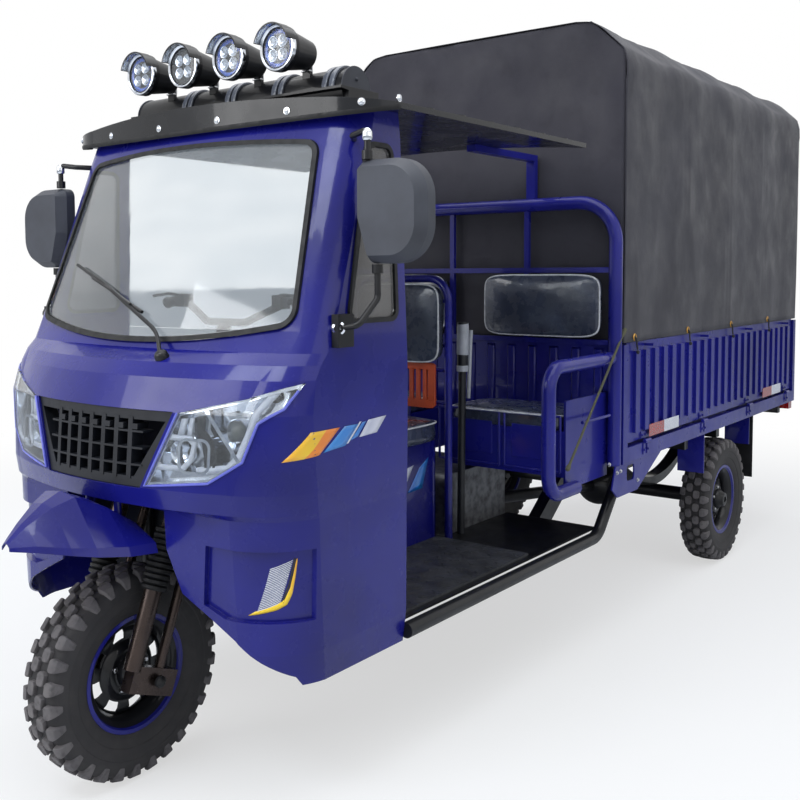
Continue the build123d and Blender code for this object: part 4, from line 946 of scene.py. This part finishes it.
highlight_line = [(298, 1022), (208, 836), (388, 856), (474, 912), (508, 1006), (556, 1040), (578, 1092)]
for hand in (1, -1):
    route = []
    for (x0, z0), (x1, z1) in zip(highlight_line, highlight_line[1:]):
        for k in range(6):
            x, z = x0 + (x1 - x0) * k / 6, z0 + (z1 - z0) * k / 6
            point = nose_point(x, z, 1.5)
            route.append((hand * point[0], point[1], point[2]))
    highlight_lips.tube(route, 3.6, 8)
highlight_lips.done(painted_highlight_blue)

# Roof lamps: bezels, rings, light cells, lenses, visor linings and brackets
bezels = Build("roof_lamp_bezels")
cells = Build("roof_lamp_cells")
lenses = Build("roof_lamp_lenses")
lamp_rings = Build("roof_lamp_rings")
brackets = Build("roof_lamp_brackets")
lamp_places = (-285, -95, 95, 285)
unringed_lamp = -95
lamp_y, lamp_z = -1538, 1972.0
bar_y, bar_z = -1385, 1868
forward = (0, -1, 0)
bezel_profile = [(0, 52.5), (9, 52.8), (12.5, 54), (14.5, 57), (14, 60.5), (11, 62.8), (2, 62.8)]
for x in lamp_places:
    face = (x, lamp_y, lamp_z)
    bezels.lathe(face, forward, bezel_profile, 56)
    if x != unringed_lamp:
        lamp_rings.lathe(face, forward, [(0.5, 52), (3, 51.5), (5, 46), (3, 40.5), (0.5, 40)], 48)
    for cx in (-17.5, 17.5):
        for cz in (-17.5, 17.5):
            cell = (x + cx, lamp_y, lamp_z + cz)
            cells.mark = 0
            cells.lathe(cell, forward, [(1, 17), (7, 16.5), (7, 15), (2, 5)], 20)
            cells.mark = 1
            cells.lathe(cell, forward, [(0.6, 5.5), (2.4, 5), (4, 3), (4.4, 0.5)], 16, caps=True)
    dome = [(8, 52.4), (9.5, 52.4), (10.5, 40), (11.5, 20), (11.8, 0.5)]
    lenses.lathe(face, forward, dome, 40, caps=True)
    visor = []
    for k in range(25):
        angle = math.radians(16 + 148 * k / 24)
        c, s = math.cos(angle), math.sin(angle)
        edge = ((59.4, -1551), (59.4, -1575), (60.2, -1576.5))
        visor.append([(x + c * r, y, lamp_z + s * r) for r, y in edge])
    bezels.rings(visor, wrap=False)
    brackets.box((x - 16, -1424, 1930), (x + 16, -1420, 1985))
    brackets.box((x - 16, -1436, 1926), (x + 16, -1420, 1930))
    brackets.bolt((x, -1420, 1968), (0, 1, 0), 6)
    brackets.bolt((x + 9, -1420, 1945), (0, 1, 0), 4)
bezels.done(chrome)
cells.done([chrome, lamp_white])
lenses.done(lens_clear)
lamp_rings.done(lamp_blue)
brackets.done(steel, bevel=0.6, segments=1)
saddles = Build("light_bar_saddle_rings")
for x in lamp_places:
    for side in (-1, 1):
        middle = x + 95 + side * 13
        rows = []
        for k in range(25):
            angle = math.pi * k / 24
            c, s = math.cos(angle), math.sin(angle)
            rows.append([
                (middle + dx, bar_y + c * r, bar_z + s * r)
                for dx, r in ((-9, 61), (-9, 66.5), (-6, 68), (6, 68), (9, 66.5), (9, 61))
            ])
        saddles.rings(rows, wrap=True, caps=False)
saddles.done(grey_gloss)
ends = Build("light_bar_end_plates")
plate = 3.8
for x in (-429, 425.2):
    turns = [math.pi * k / 24 for k in range(25)]
    arc = [(x, bar_y + 63 * math.cos(turn), 1868.2 + 63 * math.sin(turn)) for turn in turns]
    ends.prism(arc, (plate, 0, 0))
    ends.bolt((x + (plate if x > 0 else 0), bar_y, 1895), (1 if x > 0 else -1, 0, 0), 5)
ends.done(mirror_plastic, bevel=0.8, segments=1)

# Roof brow: round head bolts and a rubber lip
brow_x, brow_y, brow_nose_y = 480, -1586, -1622
flank_x, flank_y = 640, -1480
brow_front = circle_through((-brow_x, brow_y), (0, brow_nose_y), (brow_x, brow_y))
brow_corner = circle_through((brow_x, brow_y), (585, -1548), (flank_x, flank_y))
corner_run = 200


def brow_point(share):
    """A point along the roof's front and left edge, share 0 at its middle."""
    if share < brow_x:
        return share, brow_front[1] - math.sqrt(brow_front[2] ** 2 - (share - brow_front[0]) ** 2)
    turn = (share - brow_x) / corner_run
    if turn > 1:
        return float(flank_x), flank_y + (share - brow_x - corner_run)
    cx, cy, radius = brow_corner
    start = math.atan2(brow_y - cy, brow_x - cx)
    end = math.atan2(flank_y - cy, flank_x - cx)
    angle = start + (end - start) * turn
    return cx + math.cos(angle) * radius, cy + math.sin(angle) * radius


def brow_out(share):
    """The brow's point at a share and the level direction that leads away from the roof there."""
    here = Vector(brow_point(share))
    ahead = Vector(brow_point(share + 1)) - here
    return here.x, here.y, Vector((ahead.y, -ahead.x, 0)).normalized()


lip = Build("brow_rubber_lip")
bolts = Build("brow_bolts")
brow_slope = 0.16
lip_profile = ((1.5, 3), (2.5, -4), (0, -10), (-4, -9), (-5, 2))
rows = []
for k in range(81):
    x, y, out = brow_out(690 * k / 80)
    edge_z = 1766 + brow_slope * (y - brow_nose_y)
    rows.append([(x + out.x * d, y + out.y * d, edge_z + z) for d, z in lip_profile])
lip.rings(rows, wrap=True, caps=True)
lip.mirror()
lip.done(rubber)
for share in (122, 367, 585, 686):
    x, y, out = brow_out(share)
    at = Vector((x, y, 1785 + brow_slope * (y - brow_nose_y)))
    bolts.lathe(at, out, [(-1, 10), (1.5, 10), (1.8, 7.5), (3.5, 6.8), (5, 4), (5.6, 0.5)], 20, caps=True)
bolts.mirror()
bolts.done(chrome)

# Wiper: pivot on the cowl, a cranked arm and a blade that lies on the glass
wiper = Build("wiper_arm_and_blade")
pivot = Vector(nose_point(178, 1150, 2))
elbow = Vector(nose_point(120, 1212, 22))
hold = Vector(nose_point(-120, 1318, 24))
wiper.lathe(pivot, (0.1, -0.6, 0.8), [(-8, 19), (10, 18), (16, 14), (20, 8), (21, 0.5)], 24, caps=True)
wiper.tube([pivot + Vector((0, -8, 12)), elbow, hold], 5.5, 10, bend=40)
blade = ((-365, 1391), (-290, 1369), (-200, 1342), (-100, 1306), (-30, 1281), (29, 1261))
wiper.tube([nose_point(x, z, 14) for x, z in blade], 5.0, 8, bend=30)
wiper.tube([nose_point(x, z, 22) for x, z in ((-240, 1352), (-120, 1316), (-20, 1281))], 4.0, 8, bend=30)
wiper_thing = wiper.done(black_paint)
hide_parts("wiper")

# Seat pod stripes, the slotted lumbar plate and the bench's pressed panels
pod = Build("seat_pod_stripes")


def pod_side(y, z, out):
    """A point on the pod's left side."""
    return (165 + out, y, z)


for mark, first, second in (
    (0, [(-1010, 640), (-890, 700)], [(-940, 610), (-850, 690)]),
    (1, [(-940, 610), (-850, 690)], [(-900, 606), (-822, 686)]),
    (3, [(-868, 602), (-790, 684)], [(-820, 598), (-752, 690)]),
    (2, [(-788, 596), (-716, 676)], [(-700, 600), (-662, 704)]),
):
    pod.mark = mark
    ribbon(pod, first, second, pod_side, 1.2)
pod.mirror()
pod.done([yellow_tape, amber_tape, sky_tape, silver_tape], solid=0.8)
lumbar = Build("slotted_lumbar_plate")
lumbar_bars = [
    [(-150, 1010), (150, 1010), (150, 1028), (138, 1035), (-138, 1035), (-150, 1028)],
    [(-138, 870), (138, 870), (150, 880), (150, 900), (-150, 900), (-150, 880)],
]
for k in range(10):
    x = -135 + 30 * k
    half = 8 if 0 < k < 9 else 15
    lumbar_bars.append([(x - half - 3, 899), (x - half, 910), (x - half, 1011), (x + half, 1011),
                        (x + half, 910), (x + half + 3, 899)])
for outline in lumbar_bars:
    lumbar.prism([(x, -598, z) for x, z in outline], (0, 12, 0))
lumbar_thing = lumbar.done(orange_plastic, bevel=2.0)
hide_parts("lumbar_plate")
pressed = Build("bench_pressed_panels")
for side in (1, -1):
    for low_x, high_x in ((70, 330), (352, 575)):
        xs = sorted((side * low_x, side * high_x))
        for z in (662, 858):
            pressed.tube([(xs[0], -446, z), (xs[1], -446, z)], 5, 10)
        for x in xs:
            pressed.tube([(x, -446, 662), (x, -446, 858)], 5, 10)
        pressed.box((xs[0] + 30, -448, 700), (xs[1] - 30, -444, 820))
pressed.done(frame_blue, bevel=1.5)
channels = Build("headboard_channels")
for k in range(13):
    x = -558 + 93 * k
    rows = []
    for z in (668, 676, 1068, 1076):
        deep = 0.5 if z in (668, 1076) else 7
        across = ((-19, 0), (-11, 1), (11, 1), (19, 0))
        rows.append([(x + dx, -107 - deep * share, z) for dx, share in across])
    channels.rings(rows, wrap=False)
channels.done(frame_blue, solid=1.0)
lever = Build("hand_lever_grip")
lever.lathe((200, -490, 1000), (0, 0.02, 1), [(0, 21), (20, 21.5), (24, 18)], 24)
grip_profile = [(0, 20.5), (6, 22), (100, 22), (116, 20), (119, 10)]
lever.lathe((200, -488, 1060), (0, 0.02, 1), grip_profile, 24, caps=True)
lever.tube([(214, -470, 900), (216, -460, 1100), (216, -455, 1150)], 7, 10)
lever.done(pale_grey)
guard = Build("guard_rail_inner_bars")
guard.tube([(636, -400, 838), (636, -180, 838)], 6, 10)
guard.mirror()
guard.done(frame_blue)

# Bed: hinges along the floor's edge, reflectors, tie rings and gusset bolts
hinge_x, hinge_z, gate_y = 660, 706, 2208
side_hinges = (119, 758, 1394, 2030)
gate_hinges = (-420, 0, 420)


def barrel(length, radius=7.8):
    """A hinge barrel's profile, hollow at both ends."""
    return [(0, 2), (0, radius), (length, radius), (length, 2)]


fixed = Build("hinge_barrels")
for y in side_hinges:
    for start in (y - 26, y + 10):
        fixed.lathe((hinge_x, start, hinge_z), (0, 1, 0), barrel(16), 18)
        fixed.box((652, start, 655), (655.5, start + 16, hinge_z))
        fixed.bolt((655.5, start + 8, 672), (1, 0, 0), 5)
fixed.mirror()
fixed.done(frame_blue)
gate_fixed = Build("tailgate_hinge_barrels")
for x in gate_hinges:
    for start in (x - 26, x + 10):
        gate_fixed.lathe((start, gate_y, hinge_z), (1, 0, 0), barrel(16), 18)
        gate_fixed.box((start, 2200, 655), (start + 16, 2203.5, hinge_z))
gate_fixed.done(frame_blue)
for hand, body in ((1, "dropside_left"), (-1, "dropside_right")):
    leaf = Build(body + "_hinge_leaves")
    for y in side_hinges:
        leaf.lathe((hand * hinge_x, y - 9, hinge_z), (0, 1, 0), barrel(18, 7.6), 18)
        xs = sorted((hand * 640.2, hand * 644))
        leaf.box((xs[0], y - 24, 715), (xs[1], y + 24, 742))
        xs = sorted((hand * 641, hand * hinge_x))
        leaf.box((xs[0], y - 8.5, 711), (xs[1], y + 8.5, 714))
        for step in (-15, 15):
            leaf.bolt((hand * 644, y + step, 728), (hand, 0, 0), 5)
    leaf.done(frame_blue, body)
    tape = Build(body + "_reflectors")
    for y in (153, 1617):
        xs = sorted((hand * 652.1, hand * 653.6))
        tape.mark = 0
        tape.box((xs[0], y, 716), (xs[1], y + 153, 764))
        tape.mark = 1
        tape.box((xs[0], y + 153.5, 716), (xs[1], y + 312, 764))
    tape.done([red_lens, white_tape], body, bevel=0.5, segments=1)
gate_leaf = Build("tailgate_hinge_leaves")
for x in gate_hinges:
    gate_leaf.lathe((x - 9, gate_y, hinge_z), (1, 0, 0), barrel(18, 7.6), 18)
    gate_leaf.box((x - 24, 2188.2, 715), (x + 24, 2192, 742))
    gate_leaf.box((x - 8.5, 2189, 711), (x + 8.5, gate_y, 714))
gate_leaf.done(frame_blue, "tailgate")
rings = Build("tarp_eyelets")
cords = Build("tarp_tie_loops")
for y in (5, 558, 1111, 1676):
    rings.lathe((652.5, y, 1114), (1, 0, 0), [(0, 7), (1.5, 7), (2.5, 9), (2.5, 13), (0, 15)], 24)
    loop = [(655, y, 1114), (659, y + 3, 1104), (657, y + 9, 1092), (655, y + 16, 1078), (656, y + 20, 1066)]
    cords.tube(loop, 3.4, 8, bend=10)
    knot = [(0, 3), (2, 6.5), (8, 7), (13, 4), (14, 1)]
    cords.lathe((656, y + 20, 1063), (0.1, 0.2, -1), knot, 12, caps=True)
rings.mirror()
cords.mirror()
rings.done(brass)
cords.done(rope_look)
stays = Build("side_stay_ropes")
stays.tube([(649, -86, 1140), (649, -309, 920), (649, -532, 700)], 4.5, 10)
stays.lathe((649, -86, 1140), (0, -0.7, -0.7), [(-16, 4), (-12, 8), (0, 9), (12, 8), (26, 5)], 14, caps=True)
stays.lathe((649, -532, 700), (0, 0.7, 0.7), [(-10, 4), (-6, 8), (4, 8.5), (18, 5)], 14, caps=True)
stays.mirror()
stays.done(olive_rope)
fixings = Build("gusset_bolts")
for y, z in ((-130, 618), (-100, 620), (-200, 660), (60, 560)):
    fixings.bolt((646, y, z), (1, 0, 0), 6.5)
fixings.mirror()
fixings.done(steel)

# Fork gaiters, axle caps, grips, levers and the floor mat's lozenges
rake = math.radians(21.4)
steering_foot_y = -1845
steer_ahead = Vector((0, -math.cos(rake), math.sin(rake)))
steer_up = Vector((0, math.sin(rake), math.cos(rake)))


def fork_point(x, lead, up):
    """A point ahead of the steering axis and up along it."""
    return Vector((x, steering_foot_y, wheel_radius)) + steer_ahead * lead + steer_up * up


gaiters = Build("fork_gaiters")
for x in (-112, 112):
    profile = []
    for k in range(11):
        profile += [(k * 15, 31), (k * 15 + 4, 36), (k * 15 + 11, 36)]
    gaiters.lathe(fork_point(x, 108, 215), steer_up, profile + [(165, 30)], 28)
    cap = [(-4, 16), (4, 16), (8, 12), (12, 5), (13, 0.5)]
    gaiters.lathe((x * 1.28, front_axle_y, wheel_radius), (x, 0, 0), cap, 20, caps=True)
gaiters.done(rubber, "steering")
grips = Build("handlebar_grips")
for hand in (1, -1):
    start, end = fork_point(hand * 235, -18, 1075), fork_point(hand * 348, -51, 1075)
    axis = end - start
    profile = [(0, 12), (2, 20), (6, 20)]
    for k in range(9):
        profile += [(8 + k * 11, 17.5), (14 + k * 11, 16.5)]
    profile += [(axis.length - 6, 19), (axis.length - 2, 19), (axis.length, 12)]
    grips.lathe(start, axis, profile, 24, caps=True)
    lever_start = fork_point(hand * 205, 20, 1075)
    lever_route = [lever_start, fork_point(hand * 240, 38, 1075), fork_point(hand * 335, 20, 1072)]
    grips.tube(lever_route, 5, 8, bend=20)
    low = fork_point(hand * 205, 0, 1060)
    grips.box(low - Vector((18, 20, 14)), low + Vector((18, 20, 26)))
grips.done(rubber, "steering", bevel=1.0, segments=1)
lozenges = Build("floor_mat_lozenges")
for i in range(17):
    for j in range(15):
        x, y = -510 + 64 * i, -1500 + 61 * j
        turn = Matrix.Rotation(math.radians(45 if (i + j) % 2 else -45), 3, "Z")
        lozenges.box((x - 15, y - 4, 407.6), (x + 15, y + 4, 409.6), turn)
lozenges.done(mat_look)
pedals = Build("foot_pedals")
for x in (-60, 70):
    pedals.tube([(x, -1540, 470), (x, -1490, 440), (x, -1430, 480)], 7, 10, bend=20)
    pedals.box((x - 34, -1432, 462), (x + 34, -1418, 508), Matrix.Rotation(math.radians(-28), 3, "X"))
pedals.done(rubber, bevel=2.0)
collars = Build("mirror_arm_fittings")
for x, y, z in ((530, -1520, 1706), (600, -1674, 1228)):
    collars.lathe((x, y, z), (0.6, -0.8, 0), [(-3, 17), (10, 17), (14, 12)], 20)
    collars.bolt((x + 6, y - 8, z), (0.6, -0.8, 0), 6)
clamp = [(-10, 11), (-6, 13), (10, 13), (16, 10), (20, 5)]
collars.lathe((634, -1600, 1700), (0, 0, 1), clamp, 20, caps=True)
collars.mirror()
collars.done(chrome)


# Floor, lights and camera
def stage_floor(half=60):
    """A pale floor that holds the shadow near the object and turns white farther out."""
    mesh = bpy.data.meshes.new("studio_floor")
    corners = [(-half, -half, 0), (half, -half, 0), (half, half, 0), (-half, half, 0)]
    mesh.from_pydata(corners, [], [(0, 1, 2, 3)])
    floor = bpy.data.objects.new("studio_floor", mesh)
    bpy.context.scene.collection.objects.link(floor)
    mat = bpy.data.materials.new("pale_floor")
    mat.use_nodes = True
    tree = mat.node_tree
    tree.nodes.clear()
    place = shader_node(tree, "ShaderNodeTexCoord").outputs["Object"]
    reach = shader_node(tree, "ShaderNodeVectorMath", {0: place}, operation="LENGTH").outputs["Value"]
    fade = {"Value": reach, "From Min": 1.8, "From Max": 5.5, "To Min": 0.6, "To Max": 1.0}
    far = shader_node(tree, "ShaderNodeMapRange", fade, interpolation_type="SMOOTHSTEP").outputs[0]
    seen = shader_node(tree, "ShaderNodeLightPath").outputs["Is Camera Ray"]
    share = shader_node(tree, "ShaderNodeMath", {0: seen, 1: far}, operation="MULTIPLY").outputs[0]
    diffuse = shader_node(tree, "ShaderNodeBsdfDiffuse", {"Color": (0.86, 0.87, 0.88, 1)}).outputs[0]
    glow = shader_node(tree, "ShaderNodeEmission", {"Color": (1, 1, 1, 1)}).outputs[0]
    mix = shader_node(tree, "ShaderNodeMixShader", {0: share, 1: diffuse, 2: glow}).outputs[0]
    shader_node(tree, "ShaderNodeOutputMaterial", {0: mix})
    mesh.materials.append(mat)
    floor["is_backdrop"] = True


def studio_world():
    """Soft light on the object, and white wherever the camera, gloss or glass sees past it."""
    world = bpy.data.worlds.new("studio")
    bpy.context.scene.world = world
    world.use_nodes = True
    tree = world.node_tree
    tree.nodes.clear()
    rays = shader_node(tree, "ShaderNodeLightPath").outputs
    pair = {0: rays["Is Camera Ray"], 1: rays["Is Glossy Ray"]}
    either = shader_node(tree, "ShaderNodeMath", pair, operation="MAXIMUM").outputs[0]
    pair = {0: either, 1: rays["Is Transmission Ray"]}
    share = shader_node(tree, "ShaderNodeMath", pair, operation="MAXIMUM").outputs[0]
    sky = {"Color": (0.86, 0.92, 1.0, 1), "Strength": 0.42}
    soft = shader_node(tree, "ShaderNodeBackground", sky).outputs[0]
    white = shader_node(tree, "ShaderNodeBackground", {"Color": (1, 1, 1, 1), "Strength": 1.0}).outputs[0]
    mix = shader_node(tree, "ShaderNodeMixShader", {0: share, 1: soft, 2: white}).outputs[0]
    shader_node(tree, "ShaderNodeOutputWorld", {0: mix})


stage_floor()
studio_world()


def softbox(name, at, aim, width, height, power, colour=(1, 1, 1)):
    """A rectangular light turned to face a point."""
    light = bpy.data.lights.new(name, "AREA")
    light.shape = "RECTANGLE"
    light.size = width
    light.size_y = height
    light.energy = power
    light.color = colour
    thing = bpy.data.objects.new(name, light)
    bpy.context.scene.collection.objects.link(thing)
    thing.location = at
    thing.rotation_mode = "QUATERNION"
    thing.rotation_quaternion = (Vector(aim) - Vector(at)).to_track_quat("-Z", "Y")


softbox("sky_panel", (0.5, -0.5, 6.2), (0, 0, 0.8), 6.5, 8.0, 320, (0.95, 0.97, 1.0))
softbox("front_panel", (-2.6, -7.5, 3.6), (0, -1.0, 0.9), 4.5, 3.0, 200)
softbox("hood_panel", (0.2, -4.6, 4.6), (0, -1.8, 1.1), 2.6, 1.1, 75, (0.86, 0.92, 1.0))
softbox("side_panel", (7.0, -1.5, 3.2), (0.2, 0.3, 1.0), 6.0, 3.0, 38)

view_right = Vector((0.78937, 0.61389, -0.00567))
view_up = Vector((-0.03528, 0.05458, 0.99789))
view_back = Vector((0.6129, -0.7875, 0.0647))
camera_data = bpy.data.cameras.new("camera")
camera_data.lens = 44.53
camera_data.sensor_width = 36
camera_data.shift_x = 0.0349
camera_data.shift_y = -0.0798
camera = bpy.data.objects.new("camera", camera_data)
bpy.context.scene.collection.objects.link(camera)
axes = Matrix((view_right, view_up, view_back)).transposed().to_4x4()
camera.matrix_world = Matrix.Translation((2.1576, -3.5427, 1.3653)) @ axes
bpy.context.scene.camera = camera
bpy.context.scene.view_settings.view_transform = "Standard"

low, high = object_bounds()
